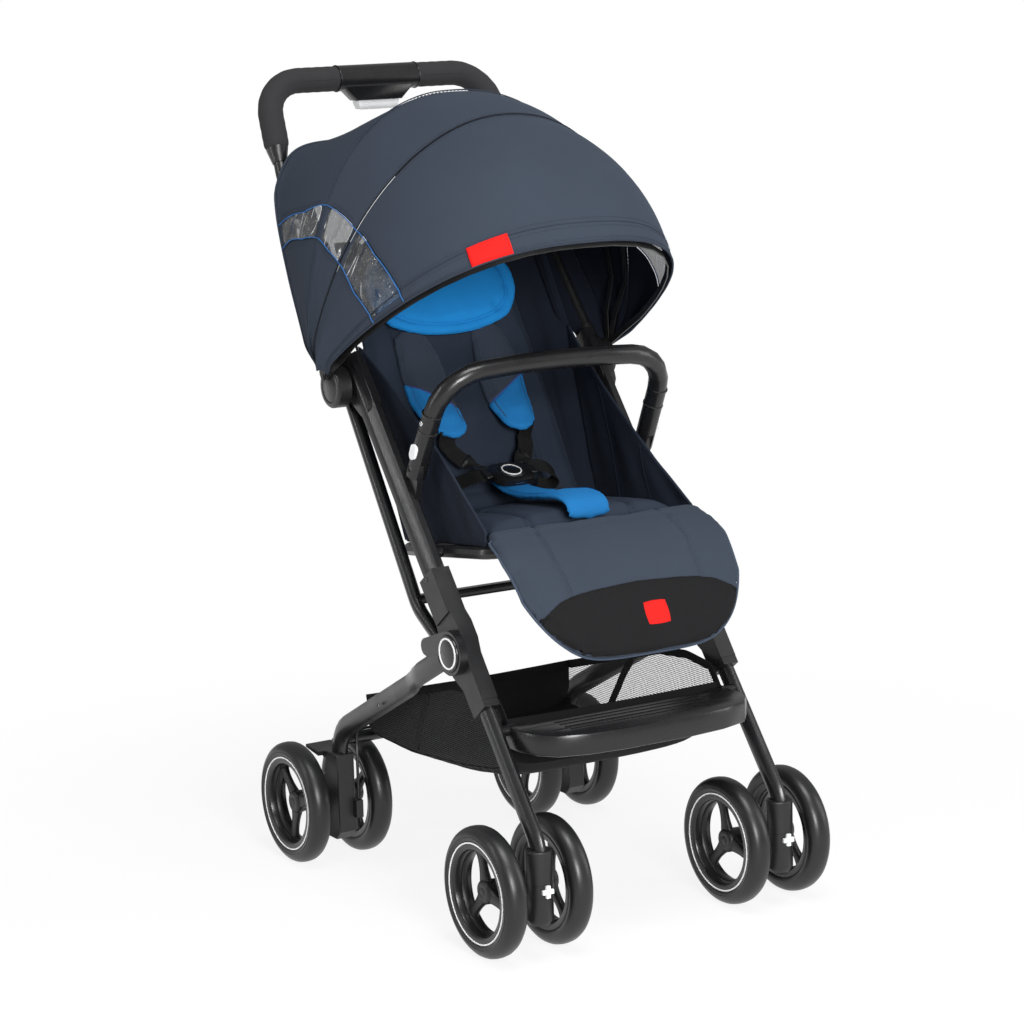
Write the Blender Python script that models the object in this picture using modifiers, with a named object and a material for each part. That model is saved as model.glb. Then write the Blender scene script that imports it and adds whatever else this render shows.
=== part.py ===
"""Compact folding stroller, modelled at real size in metres.

+Z is up, the child faces -Y, and X runs across the stroller. Side +1 is the left of the person
who pushes it, side -1 the right. Places along Y are written from the front axle and shifted once
by FRONT_AXLE_Y, so that the origin lies under the middle of the whole stroller.
"""

from math import cos, pi, radians, sin, tan

import bmesh
import bpy
from mathutils import Matrix, Vector

# Frame geometry
FRONT_AXLE_Y = -0.26855
CLEARANCE = 0.0003
LINE_ANGLE = radians(52)
HUB = (0.112, 0.345)
ELBOW = (0.370, 0.641)
LEG_X = 0.1755
JOINT_PIN_RADIUS = 0.006

# Wheels
WHEEL_RADIUS = 0.080
WHEEL_SIDES = 24
TYRE_HALF_WIDTH = 0.0145
WHEEL_OFFSET = 0.0455
AXLE_RADIUS = 0.004
AXLE_REACH = 0.0415
REAR_AXLE_Y = 0.478
REAR_WHEEL_X = 0.1785
WHEEL_SPIN = {"front": 15, "rear": 45}

# Front casters
CASTER_Y = -0.048
CASTER_SPLIT_Z = 0.0952
CASTER_RADIUS = 0.0168
SWIVEL_PIN_RADIUS = 0.006
HOUSING_TOP_Z = 0.136
FRONT_LEG_DEPTH = 0.026
FRONT_LEG_WIDTH = 0.018
FRONT_LEG_BEND = 0.050
FRONT_LEG_END_Z = 0.115

# Middle tubes and hubs
MID_TUBE_DEPTH = 0.031
MID_TUBE_WIDTH = 0.020
MID_TUBE_START = 0.060
MID_TUBE_END = 0.420
BLOCK_INNER_X = 0.1638
BLOCK_OUTER_X = 0.1860
CAP_RADIUS = 0.023
CAP_THICKNESS = 0.0033
CAP_OUTER_X = 0.1975
ELBOW_BOSS_RADIUS = 0.0122
ELBOW_BOSS_X = 0.1895

# Rear frame
REAR_LEG_ANGLE = radians(-28.5)
REAR_LEG_DEPTH = 0.029
REAR_LEG_WIDTH = 0.018
REAR_LEG_CORNER = (0.436, 0.177)
REAR_LEG_BEND = 0.050
REAR_LEG_END_Z = 0.126
HEAD_RADIUS = 0.0275
HEAD_INNER_X = 0.1863
HEAD_OUTER_X = 0.1968
REAR_HOUSING_HALF_WIDTH = 0.0125
REAR_HOUSING_TOP_Z = 0.150
CROSS_TUBE = (0.437, 0.165)
CROSS_TUBE_RADIUS = 0.008

# Link frame that ties the rear leg to the elbow
LINK_RADIUS = 0.0085
LINK_X = 0.172
LINK_ARM = 0.0560
LINK_ARM_ANGLE = radians(-2)
LINK_LUG = 0.0384
LINK_LUG_ANGLE = radians(23)
LINK_BEND = (0.226, 0.378)
LINK_PIN_RADIUS = 0.0045

# Handle
HANDLE_TUBE_RADIUS = 0.0085
HANDLE_LOW_X = 0.1975
HANDLE_KNEE = (0.173, 0.545, 0.898)
HANDLE_CORNER = (0.165, 0.600, 1.0135)
HANDLE_CORNER_BEND = 0.052
GRIP_RADIUS = 0.0165
HANDLE_HUB_HALF = 0.060
DISC_RADIUS = 0.0265
DISC_INNER_X = ELBOW_BOSS_X + CLEARANCE
DISC_OUTER_X = 0.2075
NECK_RADIUS = 0.0102
BUTTON_TRAVEL = 0.003

# Bumper bar, in a plane that leans back from the middle tubes
BUMPER_BASE = (0.2335, 0.535)
BUMPER_LEAN = radians(117)
BUMPER_RADIUS = 0.0125
BUMPER_X = 0.168
BUMPER_CORNER_X = 0.163
BUMPER_START = 0.010
BUMPER_HINGE = 0.022
BUMPER_SLOT_END = 0.0335
BUMPER_REACH = 0.1617
TONGUE_HALF = 0.004
TONGUE_RADIUS = 0.009
BUMPER_PIN_RADIUS = 0.004
RELEASE_CENTRE = 0.0465

# Seat
FRONT_RAIL = (0.086, 0.466)
REAR_RAIL = (0.300, 0.438)
RAIL_X = 0.150
RAIL_RADIUS = 0.008
SEAT_HALF_WIDTH = 0.137
CUSHION_THICKNESS = 0.032
BACK_ANGLE = radians(60)
BACK_LENGTH = 0.430
BACK_THICKNESS = 0.020
WING_THICKNESS = 0.005

# Canopy: hoops in planes through its pivot, each given by its angle from the rear, half width,
# height and roundness
CANOPY_PIVOT = (0.373, 0.656)
FABRIC_THICKNESS = 0.0016
BOW_THICKNESS = 0.0018
BOW_WIDTH = 0.008
CANOPY_HOOPS = {
    "rear_edge": (55.5, 0.228, 0.328, 8.0),
    "rear_bow": (87.5, 0.232, 0.345, 2.3),
    "mid_bow": (109, 0.235, 0.333, 2.0),
    "front_bow": (149, 0.220, 0.333, 2.5),
}
CANOPY_LOW_REACH = 0.024
BOW_EYE_X = {"front_bow": 0.2096, "rear_bow": 0.2123, "mid_bow": 0.2150}

# Basket and footrest
BASKET_HALF_WIDTH = 0.156
BASKET_WALL = 0.002
FOOTREST_HALF_WIDTH = 0.161
FOOTREST_TOP_Z = 0.264
FOOTREST_PIN = (-0.112, -0.004)

LINE = Vector((cos(LINE_ANGLE), sin(LINE_ANGLE)))
ACROSS = Vector((sin(LINE_ANGLE), -cos(LINE_ANGLE)))
LINK_LOW = (HUB[0] + LINK_ARM * cos(LINK_ARM_ANGLE), HUB[1] + LINK_ARM * sin(LINK_ARM_ANGLE))
LINK_TOP = (ELBOW[0] + LINK_LUG * cos(LINK_LUG_ANGLE), ELBOW[1] + LINK_LUG * sin(LINK_LUG_ANGLE))

for old_object in list(bpy.data.objects):
    bpy.data.objects.remove(old_object)

PARTS = bpy.data.collections.new("compact_stroller")
CUTTERS = bpy.data.collections.new("cutters")
bpy.context.scene.collection.children.link(PARTS)
bpy.context.scene.collection.children.link(CUTTERS)


def at(x, y, z):
    """A point given from the front axle, in the stroller's own frame."""
    return Vector((x, y + FRONT_AXLE_Y, z))


def on_line(along, across=0.0):
    """(y, z) of a point on the main line of the frame, measured from the hub."""
    return (
        HUB[0] + along * LINE.x + across * ACROSS.x,
        HUB[1] + along * LINE.y + across * ACROSS.y,
    )


def smooth(value):
    """0 to 1 with soft ends."""
    value = min(max(value, 0.0), 1.0)
    return value * value * (3 - 2 * value)


def mix(first, second, share):
    return first + (second - first) * share


def material(name, color, roughness, metallic=0.0):
    finish = bpy.data.materials.new(name)
    finish.use_nodes = True
    shader = finish.node_tree.nodes["Principled BSDF"]
    shader.inputs["Base Color"].default_value = (*color, 1)
    shader.inputs["Roughness"].default_value = roughness
    shader.inputs["Metallic"].default_value = metallic
    return finish


FRAME_BLACK = material("frame_black", (0.012, 0.012, 0.013), 0.42, 0.6)
PLASTIC_BLACK = material("plastic_black", (0.016, 0.016, 0.017), 0.55)
FOAM_BLACK = material("foam_black", (0.028, 0.028, 0.030), 0.9)
RUBBER_BLACK = material("rubber_black", (0.014, 0.014, 0.014), 0.75)
WHITE_PLASTIC = material("white_plastic", (0.78, 0.78, 0.78), 0.4)
SLATE_CLOTH = material("slate_cloth", (0.062, 0.079, 0.107), 0.9)
NAVY_CLOTH = material("navy_cloth", (0.012, 0.017, 0.030), 0.92)
BLUE_CLOTH = material("blue_cloth", (0.013, 0.170, 0.470), 0.85)
MESH_BLACK = material("mesh_black", (0.010, 0.010, 0.011), 0.9)
WEBBING_BLACK = material("webbing_black", (0.012, 0.012, 0.012), 0.8)


def fillet(points, radius, steps=5):
    """An open line of points with each inner corner rounded by an arc."""
    points = [Vector(p).to_3d() for p in points]
    rounded = [points[0]]
    for before, corner, after in zip(points, points[1:], points[2:]):
        back = (before - corner).normalized()
        ahead = (after - corner).normalized()
        half = back.angle(ahead) / 2
        centre = corner + (back + ahead).normalized() * radius / sin(half)
        start = corner + back * radius / tan(half) - centre
        end = corner + ahead * radius / tan(half) - centre
        turn = start.cross(end).normalized()
        for step in range(steps + 1):
            angle = start.angle(end) * step / steps
            rounded.append(centre + Matrix.Rotation(angle, 3, turn) @ start)
    rounded.append(points[-1])
    return rounded


def closed_fillet(points, radius, steps=3):
    """A closed outline with every corner rounded."""
    loop = [points[-1], *points, points[0]]
    return fillet(loop, radius, steps)[1:-1]


def circle(centre, radius, steps=24):
    angles = [2 * pi * step / steps for step in range(steps)]
    return [(centre[0] + radius * cos(a), centre[1] + radius * sin(a)) for a in angles]


def hull(*outlines):
    """The outline of a band stretched round some outlines."""
    points = sorted({(round(p[0], 6), round(p[1], 6)) for outline in outlines for p in outline})

    def chain(ordered):
        kept = []
        for point in ordered:
            while len(kept) > 1:
                (ax, ay), (bx, by) = kept[-2:]
                if (bx - ax) * (point[1] - ay) - (by - ay) * (point[0] - ax) > 0:
                    break
                kept.pop()
            kept.append(point)
        return kept[:-1]

    return chain(points) + chain(points[::-1])


def add(name, data):
    thing = bpy.data.objects.new(name, data)
    PARTS.objects.link(thing)
    return thing


def as_mesh(source):
    """Replace a curve by its mesh, with the loose caps welded on."""
    bpy.context.view_layer.update()
    depsgraph = bpy.context.evaluated_depsgraph_get()
    mesh = bpy.data.meshes.new_from_object(source.evaluated_get(depsgraph))
    work = bmesh.new()
    work.from_mesh(mesh)
    bmesh.ops.remove_doubles(work, verts=work.verts, dist=1e-6)
    bmesh.ops.recalc_face_normals(work, faces=work.faces)
    work.to_mesh(mesh)
    work.free()
    name, placing = source.name, source.matrix_world.copy()
    bpy.data.objects.remove(source)
    solid = add(name, mesh)
    solid.matrix_world = placing
    return solid


def poly_curve(name, points, dimensions="3D", cyclic=False):
    curve = bpy.data.curves.new(name, "CURVE")
    curve.dimensions = dimensions
    spline = curve.splines.new("POLY")
    spline.points.add(len(points) - 1)
    for target, point in zip(spline.points, points):
        target.co = (*Vector(point).to_3d(), 1)
    spline.use_cyclic_u = cyclic
    return add(name, curve)


def tube(name, points, radius, sides=12, cyclic=False):
    """A round tube along points in the stroller's frame."""
    path = poly_curve(name, points, cyclic=cyclic)
    path.data.bevel_depth = radius
    path.data.bevel_resolution = sides // 2 - 2
    path.data.use_fill_caps = True
    return as_mesh(path)


def plate(name, outline, x_from, x_to):
    """A flat (y, z) outline, given from the front axle, made solid between two x places."""
    shape = poly_curve(name, [Vector((p[0], p[1], 0)) for p in outline], "2D", cyclic=True)
    shape.data.fill_mode = "BOTH"
    shape.data.extrude = abs(x_to - x_from) / 2
    turn = Matrix(((0, 0, 1), (1, 0, 0), (0, 1, 0))).to_4x4()
    shape.matrix_world = Matrix.Translation(at((x_from + x_to) / 2, 0, 0)) @ turn
    return as_mesh(shape)


def standing_plate(name, outline, y_from, y_to):
    """A flat (x, z) outline made solid between two y places."""
    shape = poly_curve(name, [Vector((p[0], p[1], 0)) for p in outline], "2D", cyclic=True)
    shape.data.fill_mode = "BOTH"
    shape.data.extrude = abs(y_to - y_from) / 2
    turn = Matrix(((1, 0, 0), (0, 0, -1), (0, 1, 0))).to_4x4()
    shape.matrix_world = Matrix.Translation(at(0, (y_from + y_to) / 2, 0)) @ turn
    return as_mesh(shape)


def lying_plate(name, outline, z_from, z_to, placing=Matrix()):
    """A flat (x, y) outline made solid between two heights."""
    shape = poly_curve(name, [Vector((p[0], p[1], 0)) for p in outline], "2D", cyclic=True)
    shape.data.fill_mode = "BOTH"
    shape.data.extrude = abs(z_to - z_from) / 2
    shape.matrix_world = placing @ Matrix.Translation((0, 0, (z_from + z_to) / 2))
    return as_mesh(shape)


def rod(name, start, end, radius, sides=16):
    """A plain cylinder between two points of the stroller's frame."""
    work = bmesh.new()
    bmesh.ops.create_cone(
        work, cap_ends=True, segments=sides, radius1=radius, radius2=radius, depth=(end - start).length
    )
    mesh = bpy.data.meshes.new(name)
    work.to_mesh(mesh)
    work.free()
    cylinder = add(name, mesh)
    aim = (end - start).to_track_quat("Z", "Y").to_matrix().to_4x4()
    cylinder.matrix_world = Matrix.Translation((start + end) / 2) @ aim
    return cylinder


def pin(name, centre, side, x_from, x_to, radius, sides=16):
    """A cylinder along x at a (y, z) centre."""
    first = at(side * x_from, *centre)
    second = at(side * x_to, *centre)
    return rod(name, first, second, radius, sides)


def turned(name, profile, sides, centre, side=1, axis="X"):
    """A profile of (radius, height) turned about X outward, or about Z upward."""
    mesh = bpy.data.meshes.new(name)
    mesh.from_pydata([(r, 0, h) for r, h in profile], [(i, i + 1) for i in range(len(profile) - 1)], [])
    shape = add(name, mesh)
    screw = shape.modifiers.new("Turn", "SCREW")
    screw.steps = sides
    screw.render_steps = sides
    screw.use_merge_vertices = True
    screw.merge_threshold = 1e-5
    turn = Matrix.Rotation(side * pi / 2, 4, "Y") if axis == "X" else Matrix()
    shape.matrix_world = Matrix.Translation(centre) @ turn
    return shape


def joined(base, operation, *others):
    """Boolean the others into or out of the base, and put them away as cutters."""
    for other in others:
        step = base.modifiers.new(operation.title(), "BOOLEAN")
        step.operation = operation
        step.object = other
        other.hide_render = True
        other.display_type = "WIRE"
        PARTS.objects.unlink(other)
        CUTTERS.objects.link(other)
    return base


def fuse(base, *others):
    return joined(base, "UNION", *others)


def cut(base, *others):
    return joined(base, "DIFFERENCE", *others)


def bevel(thing, width, segments=1, angle=radians(40)):
    edge = thing.modifiers.new("Bevel", "BEVEL")
    edge.width = width
    edge.segments = segments
    edge.limit_method = "ANGLE"
    edge.angle_limit = angle
    return thing


def padded(name, columns, rows, surface, thickness, fullness=None):
    """A soft pad: a grid laid on surface(u, v), thickened by fullness(u, v) of the thickness."""
    work = bmesh.new()
    bmesh.ops.create_grid(work, x_segments=columns, y_segments=rows, size=1)
    mesh = bpy.data.meshes.new(name)
    work.to_mesh(mesh)
    work.free()
    pad = add(name, mesh)
    if fullness:
        group = pad.vertex_groups.new(name="fullness")
        for vertex in mesh.vertices:
            group.add([vertex.index], fullness(vertex.co.x, vertex.co.y), "REPLACE")
    for vertex in mesh.vertices:
        vertex.co = surface(vertex.co.x, vertex.co.y)
    solidify = pad.modifiers.new("Solidify", "SOLIDIFY")
    solidify.thickness = thickness
    solidify.offset = 0
    if fullness:
        solidify.vertex_group = "fullness"
    return pad


def crown(u, v, edge=0.30, power=3.0):
    """Fullness of a cushion: full in the middle, drawn in at the sides."""
    return edge + (1 - edge) * ((1 - abs(u) ** power) * (1 - abs(v) ** power)) ** 0.5


def channel(value, place, width=0.12, depth=0.35):
    """Loss of fullness along a sewn channel."""
    return 1 - depth * max(0.0, 1 - abs(value - place) / width)


def finished(thing, name, finish, body):
    """Name the piece, give it its material and hang it on its body's empty."""
    thing.name = name
    thing.data.name = name
    thing.data.materials.clear()
    thing.data.materials.append(finish)
    thing.data.shade_smooth()
    thing.data.set_sharp_from_angle(angle=radians(35))
    bpy.context.view_layer.update()
    turns_about_origin = any(modifier.type == "SCREW" for modifier in thing.modifiers)
    if not turns_about_origin:
        shift = thing.matrix_world.inverted() @ body.matrix_world.translation
        thing.data.transform(Matrix.Translation(-shift))
        thing.matrix_world = thing.matrix_world @ Matrix.Translation(shift)
    hang(thing, body)
    for modifier in thing.modifiers:
        if modifier.type == "BOOLEAN":
            hang(modifier.object, body)
    return thing


def hang(thing, body):
    placing = thing.matrix_world.copy()
    thing.parent = body
    thing.matrix_parent_inverse = body.matrix_world.inverted()
    thing.matrix_world = placing


def body_empty(name, place, parent=None):
    """The empty that carries one moving body, on its joint's axis."""
    empty = bpy.data.objects.new(name, None)
    empty.empty_display_size = 0.02
    PARTS.objects.link(empty)
    empty.location = place
    bpy.context.view_layer.update()
    if parent:
        hang(empty, parent)
    return empty


def side_name(side):
    return "left" if side > 0 else "right"


def band(shape, values):
    """Points of a closed band given as (along, across) pairs on the main line."""
    return [on_line(*value) for value in values]


# Front legs, casters and wheels


def front_leg_tube(name, side, grow=0.0):
    """The oval leg, straight below the hub and bent upright into its caster."""
    corner_along = (CASTER_Y - HUB[0]) / LINE.x
    corner = on_line(corner_along)
    top = on_line(-0.035 + grow)
    end = (CASTER_Y, FRONT_LEG_END_Z - grow)
    path = fillet([(0, *top), (0, *corner), (0, *end)], FRONT_LEG_BEND, 6)
    leg = tube(name, path, FRONT_LEG_DEPTH / 2 + grow)
    squash = (FRONT_LEG_WIDTH / 2 + grow) / (FRONT_LEG_DEPTH / 2 + grow)
    leg.data.transform(Matrix.Diagonal((squash, 1, 1, 1)))
    leg.location = at(side * LEG_X, 0, 0)
    return leg


def front_leg(side, body):
    leg = front_leg_tube("leg", side)
    bore = pin("footrest_bore", on_line(*FOOTREST_PIN), side, 0.150, 0.1725, 0.0073, 12)
    cut(leg, bore)
    finished(leg, f"front_leg_{side_name(side)}", FRAME_BLACK, body)


def front_housing(side, body):
    """The caster housing: a socket for the leg above, the swivel pin below."""
    profile = [
        (0, HOUSING_TOP_Z),
        (0.0155, HOUSING_TOP_Z),
        (CASTER_RADIUS, HOUSING_TOP_Z - 0.0015),
        (CASTER_RADIUS, CASTER_SPLIT_Z + CLEARANCE),
        (SWIVEL_PIN_RADIUS, CASTER_SPLIT_Z + CLEARANCE),
        (SWIVEL_PIN_RADIUS, 0.070),
        (0, 0.070),
    ]
    housing = turned("housing", profile, 16, at(side * LEG_X, CASTER_Y, 0), axis="Z")
    socket = front_leg_tube("leg_socket", side, CLEARANCE)
    cut(housing, socket)
    finished(housing, f"front_housing_{side_name(side)}", PLASTIC_BLACK, body)


def caster_yoke(side, body):
    """The swivelling yoke, with its arm back to the axle that it carries."""
    x = side * LEG_X
    profile = [
        (SWIVEL_PIN_RADIUS + CLEARANCE, 0.069),
        (SWIVEL_PIN_RADIUS + CLEARANCE, CASTER_SPLIT_Z),
        (CASTER_RADIUS, CASTER_SPLIT_Z),
        (CASTER_RADIUS, 0.052),
        (0.0125, 0.045),
        (0, 0.045),
    ]
    column = turned("column", [(0, 0.069), *profile], 16, at(x, CASTER_Y, 0), axis="Z")
    arm_outline = hull(circle((CASTER_Y + 0.012, 0.060), 0.012, 8), circle((0, WHEEL_RADIUS), 0.016, 14))
    arm = plate("arm", arm_outline, x - 0.0135, x + 0.0135)
    swivel_bore = rod(
        "swivel_bore",
        at(x, CASTER_Y, 0.069),
        at(x, CASTER_Y, CASTER_SPLIT_Z + 0.002),
        SWIVEL_PIN_RADIUS + CLEARANCE,
    )
    axle = pin("axle", (0, WHEEL_RADIUS), 1, x - AXLE_REACH, x + AXLE_REACH, AXLE_RADIUS, 10)
    fuse(column, arm, axle)
    cut(column, swivel_bore)
    finished(column, f"caster_yoke_{side_name(side)}", PLASTIC_BLACK, body)


def caster_lock(side, body):
    """The pale cross-shaped lock that slides down over the split of the caster."""
    arm, half, x = 0.0027, 0.0075, side * LEG_X
    quarter = [(half, arm), (arm, arm), (arm, half)]
    outline = []
    for turn in range(4):
        angle = turn * pi / 2
        outline += [(a * cos(angle) - b * sin(angle), a * sin(angle) + b * cos(angle)) for a, b in quarter]
    points = [(x + a, 0.0885 + b) for a, b in outline]
    back = CASTER_Y - CASTER_RADIUS - CLEARANCE
    cross = standing_plate("cross", points, back - 0.0035, back)
    finished(cross, f"caster_lock_{side_name(side)}", WHITE_PLASTIC, body)


def wheel_mesh():
    """A soft tyre on a three-spoke rim, flat side of the facets down, outer face to +X."""
    rim = WHEEL_RADIUS / cos(pi / WHEEL_SIDES)
    wall = TYRE_HALF_WIDTH
    section = [
        (rim, 0.0085),
        (rim, -0.0085),
        (0.0700, -wall),
        (0.0510, -0.0110),
        (0.0510, 0.0110),
        (0.0700, wall),
    ]
    tyre = turned("tyre", [*section, section[0]], WHEEL_SIDES, Vector())
    tyre.rotation_euler.rotate_axis("Z", pi / WHEEL_SIDES)
    hub_profile = [
        (0, 0.0045),
        (0.0150, 0.0035),
        (0.0155, -0.0310),
        (AXLE_RADIUS + CLEARANCE, -0.0310),
        (AXLE_RADIUS + CLEARANCE, -0.0025),
        (0, -0.0025),
    ]
    hub = turned("wheel_hub", hub_profile, 10, Vector())
    fuse(tyre, hub)
    for spoke in range(3):
        angle = 2 * pi * spoke / 3 + pi / 2
        outline = [(0.010, -0.0100), (0.0530, -0.0070), (0.0530, 0.0070), (0.010, 0.0100)]
        turned_outline = [
            (y * cos(angle) - z * sin(angle) - FRONT_AXLE_Y, y * sin(angle) + z * cos(angle))
            for y, z in outline
        ]
        fuse(tyre, plate("spoke", turned_outline, -0.0075, 0.0015))
    bpy.context.view_layer.update()
    mesh = bpy.data.meshes.new_from_object(tyre.evaluated_get(bpy.context.evaluated_depsgraph_get()))
    mesh.transform(tyre.matrix_world)
    for step in list(tyre.modifiers):
        if step.type == "BOOLEAN":
            bpy.data.objects.remove(step.object)
    bpy.data.objects.remove(tyre)
    mesh.name = "wheel"
    mesh.materials.clear()
    mesh.materials.append(RUBBER_BLACK)
    mesh.shade_smooth()
    mesh.set_sharp_from_angle(angle=radians(35))
    return mesh


def wheel(name, mesh, centre, outward, spin, body):
    """One wheel, its origin on its axle and its rim turned outward."""
    turning = add(name, mesh)
    facing = Matrix() if outward > 0 else Matrix.Rotation(pi, 4, "Z")
    turning.matrix_world = Matrix.Translation(centre) @ facing @ Matrix.Rotation(spin, 4, "X")
    hang(turning, body)


# Hubs, middle tubes and seat frame


def mid_tube_section(name, side, grow, start, end):
    """The straight tube with a ridge along its outer face."""
    half_depth = MID_TUBE_DEPTH / 2 + grow
    half_width = MID_TUBE_WIDTH / 2 + grow
    section = [
        (-half_depth, -0.70 * half_width),
        (-half_depth, 0.15 * half_width),
        (-0.25 * half_depth, half_width),
        (0.60 * half_depth, half_width),
        (half_depth, 0.45 * half_width),
        (half_depth, -0.70 * half_width),
        (0.80 * half_depth, -half_width),
        (-0.80 * half_depth, -half_width),
    ]
    middle = (start + end) / 2
    shape = poly_curve(name, [Vector((a, side * b, 0)) for a, b in section], "2D", cyclic=True)
    shape.data.fill_mode = "BOTH"
    shape.data.extrude = abs(end - start) / 2
    axes = Matrix(((0, 1, 0), (ACROSS.x, 0, -LINE.x), (ACROSS.y, 0, -LINE.y))).to_4x4()
    shape.matrix_world = Matrix.Translation(at(side * LEG_X, *on_line(middle))) @ axes
    return as_mesh(shape)


def bumper_yz(along):
    """(y, z) of a point of the leaning plane in which the bumper bar lies."""
    return (BUMPER_BASE[0] + along * cos(BUMPER_LEAN), BUMPER_BASE[1] + along * sin(BUMPER_LEAN))


def bumper_point(x, along):
    return at(x, *bumper_yz(along))


def mid_tube(side, body):
    """The middle tube with the elbow boss and the bumper's tongue, which are fixed to it."""
    bar = mid_tube_section("bar", side, 0.0, MID_TUBE_START, MID_TUBE_END)
    bracket_outline = hull(
        circle(ELBOW, ELBOW_BOSS_RADIUS - 0.0010, 14),
        circle(on_line(0.400), 0.0150, 10),
        circle(on_line(0.350), 0.0148, 10),
    )
    bracket = plate("elbow_bracket", bracket_outline, side * 0.1662, side * 0.1850)
    boss = pin("elbow_boss", ELBOW, side, 0.1700, ELBOW_BOSS_X, ELBOW_BOSS_RADIUS)
    elbow_pin = pin("elbow_pin", ELBOW, side, 0.1750, 0.2035, JOINT_PIN_RADIUS)
    hinge = bumper_yz(BUMPER_HINGE)
    tongue_outline = hull(
        circle(hinge, TONGUE_RADIUS, 12),
        [on_line(0.200, -0.012), on_line(0.236, -0.012)],
    )
    middle = side * BUMPER_X
    tongue = plate("tongue", tongue_outline, middle - TONGUE_HALF, middle + TONGUE_HALF)
    tongue_pin = pin("tongue_pin", hinge, side, BUMPER_X - 0.0105, BUMPER_X + 0.0105, BUMPER_PIN_RADIUS, 10)
    fuse(bar, bracket, boss, elbow_pin, tongue, tongue_pin)
    finished(bar, f"mid_tube_{side_name(side)}", FRAME_BLACK, body)


def hub_housing(side, body):
    """The moulded hub: sockets for the leg and the tube, and the capped pin of the fold."""
    outline = band(
        "block",
        [
            (-0.072, -0.0165),
            (-0.012, -0.0180),
            (0.006, -0.0240),
            (0.030, -0.0240),
            (0.052, -0.0180),
            (0.060, -0.0180),
            (0.060, 0.0180),
            (0.040, 0.0230),
            (0.020, 0.0280),
            (-0.020, 0.0280),
            (-0.045, 0.0165),
            (-0.072, 0.0165),
        ],
    )
    block = plate("block", outline, side * BLOCK_INNER_X, side * BLOCK_OUTER_X)
    cuff_outline = band(
        "cuff", [(0.046, -0.0182), (0.107, -0.0182), (0.107, 0.0182), (0.046, 0.0182)]
    )
    cuff = plate("cuff", cuff_outline, side * 0.1630, side * 0.1881)
    collar_outline = band(
        "collar", [(-0.082, -0.0160), (-0.071, -0.0160), (-0.071, 0.0160), (-0.082, 0.0160)]
    )
    collar = plate("collar", collar_outline, side * 0.1646, side * BLOCK_OUTER_X)
    cap = pin("cap", HUB, side, CAP_OUTER_X - CAP_THICKNESS, CAP_OUTER_X, CAP_RADIUS, 20)
    fold_pin = pin("fold_pin", HUB, side, 0.1800, CAP_OUTER_X - 0.001, JOINT_PIN_RADIUS)
    tube_socket = mid_tube_section("tube_socket", side, CLEARANCE, MID_TUBE_START - CLEARANCE, 0.12)
    leg_socket = front_leg_tube("hub_leg_socket", side, CLEARANCE)
    fuse(block, cuff, collar, fold_pin, cap)
    cut(block, tube_socket, leg_socket)
    finished(block, f"hub_housing_{side_name(side)}", PLASTIC_BLACK, body)


def seat_frame(body):
    """A tubular loop under the seat, hung between the middle tubes by its cross tube."""
    corners = [
        (RAIL_X, *FRONT_RAIL),
        (RAIL_X, *REAR_RAIL),
        (-RAIL_X, *REAR_RAIL),
        (-RAIL_X, *FRONT_RAIL),
    ]
    loop = tube("loop", closed_fillet([at(*c) for c in corners], 0.022, 3), RAIL_RADIUS, 8, True)
    share = 0.505
    cross_y = mix(FRONT_RAIL[0], REAR_RAIL[0], share)
    cross_z = mix(FRONT_RAIL[1], REAR_RAIL[1], share)
    reach = LEG_X - MID_TUBE_WIDTH / 2 - CLEARANCE
    cross = rod("cross", at(-reach, cross_y, cross_z), at(reach, cross_y, cross_z), 0.0068, 12)
    fuse(loop, cross)
    finished(loop, "seat_frame", FRAME_BLACK, body)


def footrest(body):
    """A moulded step with a thick rolled lip, hollow below and ribbed on top."""
    half, top, depth = FOOTREST_HALF_WIDTH, FOOTREST_TOP_Z, 0.027
    front = [
        (-half, 0.016), (-half * 0.955, -0.012), (-half * 0.84, -0.034), (-half * 0.60, -0.046),
        (-half * 0.30, -0.051), (half * 0.30, -0.051), (half * 0.60, -0.046), (half * 0.84, -0.034),
        (half * 0.955, -0.012), (half, 0.016),
    ]
    rear = [(half, 0.046), (half * 0.88, 0.046), (half * 0.74, 0.034), (-half * 0.74, 0.034),
            (-half * 0.88, 0.046), (-half, 0.046)]
    outline = [(x, y + FRONT_AXLE_Y) for x, y in front + rear]
    step = lying_plate("step", outline, top - depth, top)
    bevel(step, 0.0085, 2, radians(50))
    inner = [(x * 0.955, (y + 0.002) * 0.86 + FRONT_AXLE_Y) for x, y in front + rear]
    hollow = lying_plate("hollow", inner, top - depth - 0.01, top - 0.0045)
    cut(step, hollow)
    for rib in range(4):
        y = 0.022 - 0.012 * rib
        bar = lying_plate(
            "rib",
            [(x, y + dy + FRONT_AXLE_Y) for x, dy in
             [(-0.105, -0.001), (0.105, -0.001), (0.105, 0.001), (-0.105, 0.001)]],
            top - 0.001,
            top + 0.0008,
        )
        fuse(step, bar)
    for side in (1, -1):
        fuse(step, pin("foot_pin", on_line(*FOOTREST_PIN), side, half - 0.010, 0.1720, 0.007, 12))
    finished(step, "footrest", PLASTIC_BLACK, body)


# Rear frame


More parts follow.
